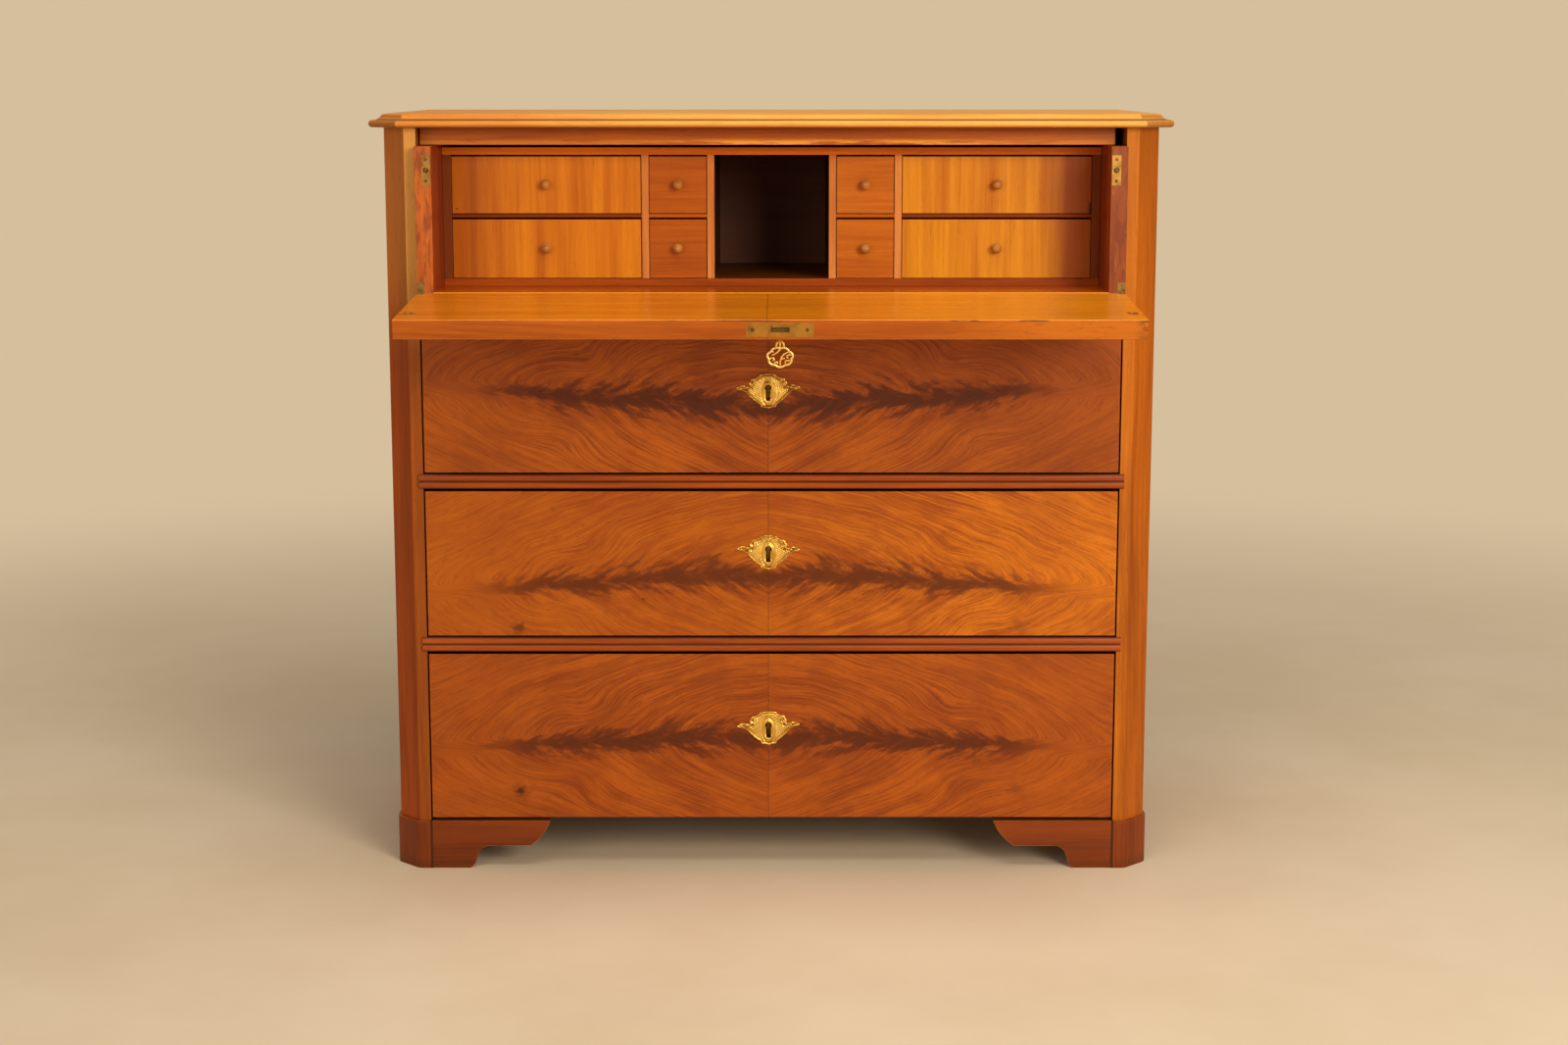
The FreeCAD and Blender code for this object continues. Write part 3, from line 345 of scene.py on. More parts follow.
def crotch(paint, across, up, plume, tilt, seed):
    """Book-matched crotch, whose strokes arch over the plume and sweep in to a seam below it.

    Returns the distance from the seam, the height over the plume, the level that a stroke keeps
    and a seed for either half.
    """
    offset = paint.total(across, -SEAM_X)
    half = paint.calc("ABSOLUTE", offset)
    twin = paint.total((paint.calc("SIGN", offset), 0.05), seed)
    wander = paint.total(paint.noise((half, 5), twin, (up, 5), 2), -0.5)
    dip = paint.times(paint.calc("EXPONENT", paint.times(half, half, -400)), 0.009)
    height = paint.total(up, -plume, (half, -tilt), dip, (wander, 0.014))
    above = paint.step(height, -0.014, 0.014)
    below = paint.less(above)
    arch, sweep = rise(paint, half, 2.2, 0.15), rise(paint, half, 5, 0.07)
    run = paint.total((arch, above), (sweep, below), 0.003)
    level = paint.calc("SQRT", paint.total((height, height), (run, run)))
    slope = paint.total((above, 0.14), (below, 0.3))
    level = paint.total(
        level, (half, slope), (wander, 0.03),
        (swell(paint, half, height, (0.27, -0.052), (0.055, 0.03)), 0.017),
        (swell(paint, half, height, (0.235, 0.045), (0.04, 0.026)), 0.013),
    )
    return half, height, level, twin


def plume_shape(paint, half, height, twin):
    """The plume's halo, its ragged core and the dark clumps in the core."""
    size = paint.calc("ABSOLUTE", height)
    barb = paint.total(half, (size, 1.4))
    clumps = paint.noise((barb, 34), paint.total(twin, 5), (height, 60), 4, 0.65)
    tongues = paint.noise((barb, 52), twin, (height, 26), 4, 0.65)
    spread = paint.calc("MAXIMUM", paint.total(0.027, (half, half, -0.12)), 0.004)
    spread = paint.times(spread, paint.step(half, 0, 0.07, 0.62, 1))
    spread = paint.times(spread, paint.step(tongues, 0.28, 0.72, 0.35, 1.6))
    spread = paint.times(spread, paint.step(clumps, 0.34, 0.62, 0.42, 1.25))
    away = paint.calc("DIVIDE", size, spread)
    fade = paint.step(half, 0.3, 0.43, 1, 0)
    halo = paint.times(paint.step(away, 0.5, 3, 1, 0), fade)
    core = paint.times(paint.step(away, 0.15, 1.25, 1, 0), fade)
    return halo, core, paint.times(core, paint.step(clumps, 0.3, 0.52))


def flame(paint, figure, light, dark, depth=1.0):
    """Figured mahogany, its plume darker with depth: colour, fine tone, pores, distance from the seam."""
    half, height, level, twin = crotch(paint, *figure)
    lean = paint.total((height, 4), twin)
    broad = paint.step(paint.noise((level, 46), (half, 3), lean, 3, 0.6), 0.28, 0.72)
    lines = paint.noise((level, 300), (half, 7), (lean, 2), 4, 0.65)
    fine = paint.step(paint.noise((level, 900), (half, 14), (lean, 4), 4, 0.7), 0.3, 0.7)
    pores = paint.step(paint.noise((level, 1700), (half, 60), (lean, 16), 2), 0.58, 0.75)
    flecks = paint.step(paint.noise((level, 420), (half, 70), (lean, 9), 3, 0.7), 0.54, 0.68)
    cloud = paint.noise((half, 9), paint.total(twin, 3), (height, 12), 3, 0.6)
    tone = paint.total(
        (broad, 0.18), (paint.step(lines, 0.3, 0.7), 0.22),
        (fine, 0.38), (paint.step(cloud, 0.3, 0.7), 0.22),
    )
    calm = paint.step(half, 0.2, 0.42, 1, 0.5)
    tone = paint.total(0.5, (paint.total(tone, -0.5), calm))
    colour = paint.mix(paint.step(tone, 0.24, 0.76), dark, light)
    faint = paint.times(paint.step(cloud, 0.42, 0.62), paint.step(half, 0.005, 0.03))
    veins = paint.times(paint.step(lines, 0.36, 0.28), faint)
    halo, core, clumps = plume_shape(paint, half, height, twin)
    streaks = paint.total(0.54, (fine, 0.36))
    colour = paint.mix((veins, 0.42), colour, (112, 46, 14))
    colour = paint.mix((halo, 0.42 * depth), colour, (140, 58, 16))
    colour = paint.mix((core, 0.72 * depth), colour, (108, 42, 12))
    colour = paint.mix((clumps, streaks, depth), colour, (62, 23, 9))
    colour = paint.mix((flecks, 0.3), colour, (112, 46, 14))
    return paint.mix((pores, 0.48), colour, (76, 30, 10)), fine, pores, half


def knot(paint, first, second, place, radius):
    """A dark spot with a ragged edge."""
    u = paint.total(first, -place[0])
    v = paint.times(paint.total(second, -place[1]), 1.2)
    away = paint.calc("SQRT", paint.total((u, u), (v, v)))
    torn = paint.noise((u, 160), place[0] * 40, (v, 160), 3, 0.7)
    away = paint.times(away, paint.step(torn, 0.25, 0.75, 0.6, 1.5))
    return paint.step(away, radius * 0.25, radius, 1, 0)


def flame_front(name, lock, plume, tilt, seed, light, dark, drift, depth, knots):
    """A drawer front's material, painted black round its keyhole as the shade inside it."""
    paint = Paint(name)
    x, _, z = paint.place
    # Painted shade: the front darkens towards its left end for a positive amount, towards its right end
    # for a negative one.
    darker = paint.step(x, -0.1, 0.45, max(drift, 0), max(-drift, 0))
    ground = paint.mix(darker, light, dark)
    colour, fine, pores, half = flame(paint, (x, z, plume, tilt, seed), ground, dark, depth)
    for place, radius, amount in knots:
        colour = paint.mix((knot(paint, x, z, place, radius), amount), colour, (62, 26, 12))
    seam = paint.step(half, 0.0003, 0.0012, 0.36, 0)
    colour = rubbed_and_highlit_arrises(paint, paint.mix(seam, colour, (62, 26, 12)), (206, 120, 52), 0.4)
    # Painted shade: the wood round and behind the keyhole is black, so the hole looks dark.
    keyhole_shade = paint.calc("MAXIMUM", *[
        paint.times(paint.away(axis, middle), 1 / reach)
        for axis, middle, reach in ((x, lock[0], 0.008), (z, lock[1], 0.015))
    ])
    colour = paint.mix(paint.step(keyhole_shade, 0.9, 1, 1, 0), colour, (14, 7, 4))
    facing = paint.facing[1]
    # Painted shade on the edges that look into the gaps round the drawer.
    colour = paint.mix(paint.step(facing, -0.6, -0.2), colour, GAP_SHADE)
    colour = paint.mix(paint.step(facing, 0.3, 0.7), colour, (138, 78, 38))
    return finish_wood(paint, colour, fine, pores, 0.22)


def fall_material():
    """Figured outside, plain polished inside and plain edges; painted light on the inside towards the
    right and a painted highlight on the rounded hinge edge.
    """
    paint = Paint("fall_mahogany")
    x, y, z = paint.place
    figure = (x, paint.times(y, -1), 0.26, -0.05, 5.0)
    outside = flame(paint, figure, (196, 102, 31), (150, 68, 20))[0]
    tone, fine, pores = toned(paint, (x, y, z), 7.3, 0.55)
    inside = paint.mix(tone, (198, 102, 26), (230, 136, 38))
    # Painted light: the inside grows lighter towards its right end.
    inside = paint.mix(paint.step(x, -0.2, 0.45, 0, 0.4), inside, (248, 158, 48))
    edge = paint.mix(tone, (150, 66, 19), (194, 99, 30))
    edge = paint.mix(paint.step(x, 0.12, 0.42, 0, 0.4), edge, (220, 126, 40))
    chip = paint.noise((x, 36), (y, 36), (z, 260), 4, 0.7)
    chipped = paint.times(paint.step(chip, 0.56, 0.7), paint.step(x, 0.1, 0.34, 0.1, 0.7))
    edge = paint.mix(chipped, edge, (112, 52, 20))
    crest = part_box("fall_board")[0][2] + FALL_THICK
    torn = paint.noise((x, 17), 4.7, (z, 90), 3, 0.6)
    lost = paint.times(paint.step(torn, 0.53, 0.58), paint.step(x, -0.3, 0.1, 0.2, 0.85))
    lost = paint.times(lost, paint.step(z, crest - 0.0032, crest - 0.0018))
    edge = paint.mix(lost, edge, (84, 36, 14))
    grime = paint.noise((x, 60), 1.3, (z, 110), 4, 0.7)
    dirty = paint.times(paint.step(x, 0.45, 0.467, 0, 0.8), paint.step(grime, 0.36, 0.6))
    edge = paint.mix(dirty, edge, (104, 58, 32))
    inside = paint.mix(paint.step(paint.facing[1], -0.7, -0.5, 1, 0), inside, edge)
    inside = paint.mix((pores, 0.35), inside, (92, 42, 12))
    seam = paint.step(paint.away(x, SEAM_X), 0.0003, 0.0011, 0.45, 0)
    inside = paint.mix(seam, inside, (90, 40, 16))
    # Pale arrises, chiefly along the rounded hinge edge: a painted highlight as well as wear.
    inside = rubbed_and_highlit_arrises(paint, inside, (232, 150, 72), 0.5)
    under = paint.step(paint.facing[2], -0.6, -0.4, 1, 0)
    return finish_wood(paint, paint.mix(under, inside, outside), fine, pores, 0.12, 0.3, amber=0.3)


def bed_material():
    """Red-brown bed with a pale front edge along the hinge: a painted highlight, also rubbing."""
    paint = Paint("bed_mahogany")
    x, y, z = paint.place
    tones = (140, 58, 16), (182, 84, 26), (60, 25, 8)
    colour, fine, pores = grained(paint, (x, y, z), 10.0, *tones, 0.4)
    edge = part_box("writing_bed")[0][1]
    # Pale line along the front edge by the hinge: a painted highlight, also rubbing.
    colour = paint.mix(paint.step(y, edge + 0.001, edge + 0.004, 0.85, 0), colour, (250, 178, 112))
    return finish_wood(paint, colour, fine, pores, 0.12)


def till_front(name, grain, dark, light, seed, outer, marks):
    """Ribbon-striped till front with a turned knob; a painted shadow darkens it towards the outer end."""
    paint = Paint(name)
    x, y, z = paint.place
    broad, fine, pores = straight(paint, *pick(paint, grain), seed, 0.5)
    if grain == "Z":
        ribbon = paint.step(paint.noise((x, 44), seed, (z, 2), 3, 0.55), 0.3, 0.7)
        tone = paint.total((ribbon, 0.55), (broad, 0.2), (fine, 0.25))
    else:
        tone = paint.total((broad, 0.3), (fine, 0.45), 0.12)
    colour = paint.mix(tone, dark, light)
    colour = paint.mix((pores, 0.35), colour, [value * 0.45 for value in dark])
    if outer:
        # Painted shadow over the outer end, deeper on the right.
        near = paint.away(x, outer)
        end_shadow = paint.step(near, 0.015, 0.085, 0.8 if outer > 0 else 0.45, 0)
        colour = paint.mix(end_shadow, colour, (146, 52, 9))
        band = paint.away(paint.total(near, (ribbon, 0.01)), 0.034)
        band = paint.step(band, 0.002, 0.009, 0.4, 0)
        colour = paint.mix(band, colour, (140, 56, 16))
    for place, radius, amount in marks:
        colour = paint.mix((knot(paint, x, z, place, radius), amount), colour, (40, 18, 10))
    # Painted shade on the edges that look into the gaps round the till.
    colour = paint.mix(paint.step(paint.facing[1], -0.6, -0.2), colour, GAP_SHADE)
    ring = paint.noise((x, 90), (y, 400), (z, 90), 3)
    knob = paint.mix(ring, (134, 74, 64), (224, 158, 148))
    colour = paint.mix(paint.step(y, NEST_Y - 0.0012, NEST_Y - 0.0004, 1, 0), colour, knob)
    return finish_wood(paint, colour, fine, pores, 0.2)


def foot_material():
    """Upright grain on the block, level grain on the brackets; the left foot painted darker as shade, pale
    edges painted as wear and highlight.
    """
    paint = Paint("foot_mahogany")
    x, y, z = paint.place
    seeds = {"Z": 2.1, "X": 3.7, "Y": 4.4}
    grains = [straight(paint, *pick(paint, axis), seed) for axis, seed in seeds.items()]
    outer = paint.step(paint.calc("ABSOLUTE", x), OPENING_HALF - 0.0001, OPENING_HALF + 0.0001)
    behind = paint.step(y, POST_BACK_Y - 0.0001, POST_BACK_Y + 0.0001)
    parts = []  # broad tone, fine tone and pores
    for block, bracket, flank in zip(*grains):
        blend = paint.total((bracket, paint.less(outer)), (block, outer))
        parts.append(paint.total((blend, paint.less(behind)), (flank, behind)))
    broad, fine, pores = parts
    colour = paint.mix(paint.total((broad, 0.6), (fine, 0.4)), (108, 43, 14), (152, 67, 23))
    colour = paint.mix((pores, 0.45), colour, (46, 20, 8))
    # Painted shade: the left foot is darker than the right.
    colour = paint.mix(paint.step(x, -0.3, 0.3, 0.3, 0), colour, (88, 34, 11))
    colour = paint.mix(paint.step(z, 0, 0.02, 0.35, 0), colour, (58, 26, 12))
    colour = paint.mix((paint.less(outer), 0.14), colour, (60, 22, 7))
    # Pale patches on the brackets' curved undersides: rubbing and a painted highlight.
    slope = paint.facing[2]
    bare = paint.mottle(90, 4)
    curved = paint.times(paint.step(slope, -0.05, -0.4), paint.step(slope, -0.95, -0.8))
    rubbed = paint.times(curved, paint.step(bare, 0.42, 0.62))
    colour = paint.mix((rubbed, 0.7), colour, (204, 142, 84))
    # Pale arrises: knocks and a painted highlight along the sharp edges.
    knocks = paint.step(paint.mottle(50), 0.3, 0.55, 0.25, 0.8)
    colour = paint.mix((arris(paint, 0.0016), knocks), colour, (196, 110, 56))
    joint = paint.step(paint.away(paint.calc("ABSOLUTE", x), OPENING_HALF), 0.0012, 0.0022, 0.85, 0)
    colour = paint.mix(joint, colour, (50, 20, 8))
    return finish_wood(paint, colour, fine, pores, 0.28)


def nest_material(name, grain, dark, light, seed):
    """Polished front edges, with painted shade inside, in the pigeonhole and on the front of the end
    posts.
    """
    paint = Paint(name)
    ends = name == "nest_uprights"
    x, y, z = paint.place
    pore = [value * 0.45 for value in dark]
    colour, fine, pores = grained(paint, pick(paint, grain), seed, dark, light, pore, 0.4)
    side = paint.calc("ABSOLUTE", x)
    if name == "nest_ledges_shaded":
        low, high = [corner[0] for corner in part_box("till_near_right_upper_front")]
        between = paint.step(side, low - 0.0012, low - 0.0008)
        between = paint.times(between, paint.step(side, high + 0.0008, high + 0.0012, 1, 0))
        colour = paint.mix((between, 0.8), colour, (198, 98, 29))
    if ends:
        # Painted shade on the front of the end posts, beside the outer tills.
        outer = paint.step(side, NEST_END_X - 0.002, NEST_END_X + 0.002, 0, 0.9)
        colour = paint.mix(outer, colour, (108, 41, 8))
    # Inside faces painted dark: dark raw wood, painted darker as the shade in the gaps and the pigeonhole.
    inside = paint.step(y, NEST_Y + 0.001, NEST_Y + 0.003)
    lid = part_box("nest_top")[1][2]
    hole = paint.step(side, PIGEONHOLE_HALF - 0.0002, PIGEONHOLE_HALF + 0.0002, 1, 0)
    hole = paint.times(hole, paint.step(z, lid - 0.001, lid - 0.0008, 1, 0))
    colour = paint.mix(inside, colour, (86, 36, 13))
    colour = paint.mix((inside, hole), colour, (62, 32, 18) if ends else (104, 54, 29))
    return finish_wood(paint, colour, fine, pores, 0.34, 0.12, 0, 0.8 if ends else 0.3)


def cheek_material():
    """Inner faces painted dark as shade, and scuffed front ends with the finish rubbed off in patches."""
    paint = Paint("cheek_mahogany")
    x, y, z = paint.place
    tone, fine, pores = toned(paint, (z, x, y), 9.0)
    # Painted shade: the inner faces are darker than the front ends.
    inner = paint.mix(tone, (112, 44, 14), (162, 68, 22))
    ends = paint.mix(tone, (146, 66, 28), (198, 104, 46))
    stain = paint.noise((x, 120), 3, (z, 22), 4, 0.65)
    ends = paint.mix(paint.step(stain, 0.48, 0.6, 0, 0.75), ends, (126, 54, 36))
    scuff = paint.noise((x, 260), 7, (z, 40), 4, 0.65)
    ends = paint.mix(paint.step(scuff, 0.6, 0.7, 0, 0.7), ends, (222, 158, 100))
    ends = paint.mix(paint.step(x, -0.1, 0.1, 0, 0.55), ends, (112, 50, 28))
    colour = paint.mix(paint.step(paint.facing[1], -0.7, -0.5, 1, 0), inner, ends)
    colour = paint.mix((pores, 0.4), colour, (60, 24, 10))
    return finish_wood(paint, rubbed_and_highlit_arrises(paint, colour, (214, 130, 66)), fine, pores, 0.26, amber=0.5)


def lining(name, grain, seed, dark=(150, 108, 66), light=(196, 152, 98)):
    """Bare pine of boards inside the case."""
    paint = Paint(name)
    pore = [value * 0.6 for value in dark]
    colour, fine, pores = grained(paint, pick(paint, grain), seed, dark, light, pore, 0.4, 0.55)
    return finish_bare(paint, colour, fine, pores, 0.52, 0.25, 0.0005)


def back_material():
    """Five rough pine boards, each its own tone, with dark joints and a few knots."""
    paint = Paint("back_pine")
    x, y, z = paint.place
    low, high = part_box("back_boards")
    board = paint.times(paint.total(x, -low[0]), BACK_COUNT / (high[0] - low[0]))
    shift = paint.times(paint.calc("FLOOR", board), 3.7)
    broad, fine, pores = straight(paint, paint.total(z, shift), paint.total(x, shift), y, 5.0)
    age = paint.noise(shift, 2.2, 8.1, 0)
    tone = paint.total((broad, 0.45), (fine, 0.35), (age, 0.25))
    colour = paint.mix(tone, (112, 80, 50), (178, 136, 88))
    colour = paint.mix((pores, 0.4), colour, (76, 52, 32))
    for place in ((-0.31, 0.62), (-0.07, 0.31), (0.12, 0.78), (0.36, 0.47)):
        spot = knot(paint, x, z, place, 0.016)
        colour = paint.mix((spot, 0.8), colour, (74, 44, 24))
    near = paint.away(paint.calc("FRACT", paint.total(board, 0.5)), 0.5)
    colour = paint.mix(paint.step(near, 0.002, 0.008, 0.85, 0), colour, (40, 26, 16))
    return finish_bare(paint, colour, fine, pores, 0.55, 0.3, 0.0006)


def metal(name, bright, dull, rough, cast=False):
    """Old brass: bright where it is rubbed, brown in the pits and in a casting's hollows."""
    paint = Paint(name)
    x, y, z = paint.place
    patches = paint.mottle(70, 4, 0.6)
    scratches = paint.noise((x, 420), (y, 2600), (z, 2600), 3)
    tarnish = paint.step(patches, 0.36, 0.76)
    colour = paint.mix(tarnish, bright, dull)
    if cast:
        proud = paint.make("Attribute")
        proud.attribute_name = "relief"
        hollow = paint.step(proud.outputs["Fac"], 0.12, 0.5, 0.85, 0)
        colour = paint.mix(hollow, colour, (118, 74, 24))
    rough = paint.total(rough, (tarnish, 0.12), (scratches, 0.1))
    paint.fix(Base_Color=colour, Roughness=rough, Metallic=1.0)
    paint.bump(paint.total(patches, (scratches, 0.3)), 0.15, 0.0002)
    return paint.material


def dress(material, *names):
    """Give nodes a material."""
    for name in names:
        for slot in NODES[name].material_slots:
            slot.material = material


dress(top_material(), "top_board")
dress(frieze_material(), "frieze_rail")
dress(rail_material(), "divider_rails")
# The left post is painted darker than the right, and each post's cant and front face have their own
# colours: painted shade and light for lamps on the right.
POSTS = {
    "left": {
        "seed": 3.0, "cant": ((128, 48, 13), (174, 76, 22)), "face": ((128, 56, 19), (174, 88, 33)),
        "fade_and_sheen_span": (0.7, 0.86, 0.03, 0.9), "fade_and_sheen_tint": (230, 164, 154),
    },
    "right": {
        "seed": 3.4, "cant": ((144, 66, 21), (199, 105, 36)), "face": ((149, 72, 23), (206, 115, 40)),
        "fade_and_sheen_span": (0.6, 1.0, 0, 0.45), "fade_and_sheen_tint": (214, 128, 52),
    },
}
for side, looks in POSTS.items():
    dress(post_material(side + "_post", **looks), "corner_post_" + side)
dress(side_material(), "side_panel_left", "side_panel_right")
dress(foot_material(), "front_foot_left", "front_foot_right", "rear_feet")
dress(back_material(), "back_boards")
dress(lining("dust_pine", "X", 6.0, (112, 80, 50), (156, 116, 74)), "bottom_board")
dress(lining("runner_pine", "Y", 7.0), "drawer_runners")
# Darker pine for the back of the pigeonhole: painted shade inside it.
dress(lining("secretaire_pine_shaded", "X", 8.0, (104, 58, 32), (122, 68, 38)), "secretaire_back")
dress(cheek_material(), "cheek_left", "cheek_right")
dress(bed_material(), "writing_bed")
# The top is painted lighter and the shelves darker than the base: painted light on the top, which the
# frieze shadows, and painted shade on the shelves.
NEST = {
    "nest_base": ("nest_foot", "X", (136, 54, 17), (184, 82, 27), 11.0),
    "nest_top": ("nest_head_lit", "X", (192, 94, 29), (248, 134, 45), 11.0),
    "nest_shelves": ("nest_ledges_shaded", "X", (104, 42, 14), (148, 62, 21), 13.0),
    "nest_partitions": ("nest_uprights", "Z", (188, 105, 50), (232, 150, 82), 12.0),
}
for node, looks in NEST.items():
    dress(nest_material(*looks), node)
TILLS = {
    "far_left": ("Z", (186, 92, 24), (232, 142, 46)),
    "near_left": ("X", (160, 69, 18), (198, 103, 29)),
    "near_right": ("X", (171, 79, 19), (213, 120, 32)),
    "far_right": ("Z", (188, 101, 25), (236, 158, 48)),
}
for index, (side, (grain, *tones)) in enumerate(TILLS.items()):
    for row, level in enumerate(("upper", "lower")):
        name = "till_%s_%s" % (side, level)
        low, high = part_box(name + "_front")
        outer = {"far_left": low[0], "far_right": high[0]}.get(side, 0)
        marks = []
        if name == "till_far_left_upper":
            marks = [((low[0] + 0.006, low[2] + 0.006), 0.0022, 0.9)]
        if name == "till_far_right_upper":
            marks = [((high[0] - 0.001, low[2] + 0.001 + 0.003 * step), 0.0032, 1.0) for step in range(5)]
        seed = 20 + 3 * index + row
        dress(till_front(name + "_mahogany", grain, *tones, seed, outer, marks), name + "_front")
        dress(lining(name + "_pine", "Y", seed + 10), name + "_box")
WELL_RISE = 0.0205  # middle of a keyhole above its escutcheon's foot
# Each drawer's signed side amount is painted shade towards one end of its front.
FIGURES = {
    1: {
        "plume": 0.649, "tilt": 0.045, "seed": 0.0, "light": (184, 92, 28), "dark": (134, 57, 17),
        "drift": -0.25, "depth": 0.96, "knots": [],
    },
    2: {
        "plume": 0.4215, "tilt": -0.07, "seed": 29.0, "light": (226, 128, 37), "dark": (158, 71, 21),
        "drift": 0.6, "depth": 0.78,
        "knots": [
            ((-0.346, 0.341), 0.013, 0.62), ((0.337, 0.345), 0.016, 0.3), ((-0.176, 0.381), 0.004, 0.55),
        ],
    },
    3: {
        "plume": 0.193, "tilt": -0.055, "seed": 23.0, "light": (184, 91, 28), "dark": (136, 57, 18),
        "drift": 0.1, "depth": 0.88,
        "knots": [
            ((-0.348, 0.11), 0.02, 0.35), ((-0.348, 0.11), 0.0085, 0.85), ((0.339, 0.112), 0.016, 0.3),
        ],
    },
}
for number, looks in FIGURES.items():
    name = "drawer_%d" % number
    low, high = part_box(name + "_escutcheon")
    lock = ((low[0] + high[0]) / 2, low[2] + WELL_RISE)
    dress(flame_front(name + "_flame", lock, **looks), name + "_front")
    dress(lining(name + "_pine", "Y", 50 + number), name + "_box")
dress(fall_material(), "fall_board")
dress(metal("old_brass", (218, 168, 84), (150, 102, 44), 0.28), "hinge_pins", "fall_strikers")
dress(metal("plate_brass", (172, 130, 64), (104, 72, 34), 0.36), "catch_plates")
dress(metal("hinge_brass", (150, 112, 60), (66, 46, 26), 0.36), "hinge_brackets")
LOCKS = ["fall_lock"] + ["drawer_%d_lock" % number for number in FIGURES]
dress(metal("dull_brass", (188, 132, 55), (134, 90, 38), 0.34), *LOCKS)
LATCHES = ["fall_bolt", "catch_latch_left", "catch_latch_right"]
dress(metal("latch_brass", (118, 88, 48), (68, 48, 28), 0.34), *LATCHES)
GILT = metal("cast_brass", (232, 186, 92), (196, 142, 58), 0.28, True)
# The key's brass is brighter than the shields': polish, and painted light against the shade under the
# fall.
KEY_BRASS_BRIGHTENED = metal("polished_brightened_brass", (248, 208, 118), (226, 176, 88), 0.3)
SCREW = metal("dark_screws", (120, 84, 42), (84, 58, 30), 0.4)

# Rounded arrises

def soften(width, *names):
    """Weld the imported faces and round the arrises of boards."""
    for name in names:
        weld = NODES[name].modifiers.new("weld", "WELD")
        weld.merge_threshold = 0.00001
        bevel = NODES[name].modifiers.new("arris", "BEVEL")
        bevel.width = width
        bevel.segments = 2
        bevel.limit_method = "ANGLE"
        bevel.angle_limit = math.radians(40)


soften(0.0008, "cheek_left", "cheek_right", "frieze_rail")
soften(0.0008, *NEST)
soften(0.0009, "side_panel_left", "side_panel_right")
soften(0.0007, *[name for name in NODES if name.startswith("till_") and name.endswith("_front")])

# Cast brass, in millimetres: u to the right, v up, h out of the face

def turns(count):
    """Even turns round a circle."""
    return [2 * math.pi * k / count for k in range(count)]


def arc(u, v, radius, angles):
    """Points of a circle at some angles."""
    return [(u + radius * math.cos(angle), v + radius * math.sin(angle)) for angle in angles]


def bell(value, centre, width):
    """A hill of height 1."""
    return math.exp(-((value - centre) / width) ** 2)


def ease(value, low, high):
    """From 0 to 1 as value goes from low to high."""
    share = min(max((value - low) / (high - low), 0), 1)
    return share * share * (3 - 2 * share)


class Casting:
    """Points and faces of one brass piece, with how proud each point stands, from 0 to 1."""

    def __init__(self):
        self.points, self.faces, self.relief = [], [], []

    def add(self, points, faces, relief=1.0):
        first = len(self.points)
        self.points += [Vector(point) for point in points]
        self.faces += [[first + index for index in face] for face in faces]
        self.relief += relief if isinstance(relief, list) else [relief] * len(points)

    def rings(self, rings, closed=False):
        """Skin over rings of points, capped unless they close on themselves."""
        count = len(rings[0])
        points = [point for ring in rings for point in ring]
        faces = []
        for row in range(len(rings) if closed else len(rings) - 1):
            low, high = row * count, (row + 1) % len(rings) * count
            for i in range(count):
                j = (i + 1) % count
                faces.append((low + i, low + j, high + j, high + i))
        if not closed:
            faces.append(tuple(range(count))[::-1])
            faces.append(tuple(range(len(points) - count, len(points))))
        self.add(points, faces)

    def tube(self, line, width, thick, closed=False):
        """Flattened bar along a line in the u v plane, thinner at open ends."""
        rings = []
        for i, (u, v) in enumerate(line):
            last = line[i - 1] if i or closed else line[0]
            after = line[(i + 1) % len(line)] if i + 1 < len(line) or closed else line[-1]
            along = Vector((after[0] - last[0], after[1] - last[1])).normalized()
            size = 1 if closed else 0.55 + 0.45 * ease(min(i, len(line) - 1 - i), 0, 2)
            ring = []
            for turn in turns(10):
                aside = width * size * math.cos(turn)
                ring.append((u - along.y * aside, v + along.x * aside, thick * size * math.sin(turn)))
            rings.append(ring)
        self.rings(rings, closed)

    def lathe(self, profile, count=28):
        """Turned form about the v axis from (v, radius) pairs."""
        self.rings([
            [(radius * math.cos(turn), v, -radius * math.sin(turn)) for turn in turns(count)]
            for v, radius in profile
        ])

    def prism(self, outline, low, high, relief=1.0):
        """Upright prism on a convex outline, chamfered round the top."""
        middle = sum((Vector(point) for point in outline), Vector((0, 0))) / len(outline)
        inner = [middle + (Vector(point) - middle) * 0.93 for point in outline]
        lip = high - (high - low) * 0.2
        before = len(self.points)
        levels = ((outline, low), (outline, lip), (inner, high))
        self.rings([[(u, v, level) for u, v in line] for line, level in levels])
        self.relief[before:] = [relief] * (len(self.points) - before)

    def finish(self, name, place, body, material, *nodes):
        mesh = bpy.data.meshes.new(name)
        mesh.from_pydata([place @ (point * MM) for point in self.points], [], self.faces)
        mesh.attributes.new("relief", "FLOAT", "POINT").data.foreach_set("value", self.relief)
        mesh.shade_smooth()
        mesh.set_sharp_from_angle(angle=math.radians(38))
        mesh.materials.append(material)
        piece = bpy.data.objects.new(name, mesh)
        bpy.context.scene.collection.objects.link(piece)
        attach(piece, body)
        if nodes:
            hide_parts(*nodes)


# Right half of the shield's outline, from crown to foot
SHIELD = [
    (0, 24.8), (6, 24.5), (11.2, 23.6), (12.2, 20.8), (15.2, 20.6), (16, 18.8), (20.6, 18.6), (23.4, 16.8),
    (22.6, 14.8), (25.4, 13.4), (25.6, 10.6), (23.4, 8.4), (27, 7.4), (32, 9.2), (37, 9.2), (41, 7.4),
    (43.9, 4.4), (40, 3.8), (35.5, 3), (31, 0.6), (27.5, -2.6), (22.5, -8), (17, -12.8), (12.2, -16),
    (10.8, -17.8), (10.4, -20), (6, -20.8), (2.4, -21.2), (0, -22.4),
]
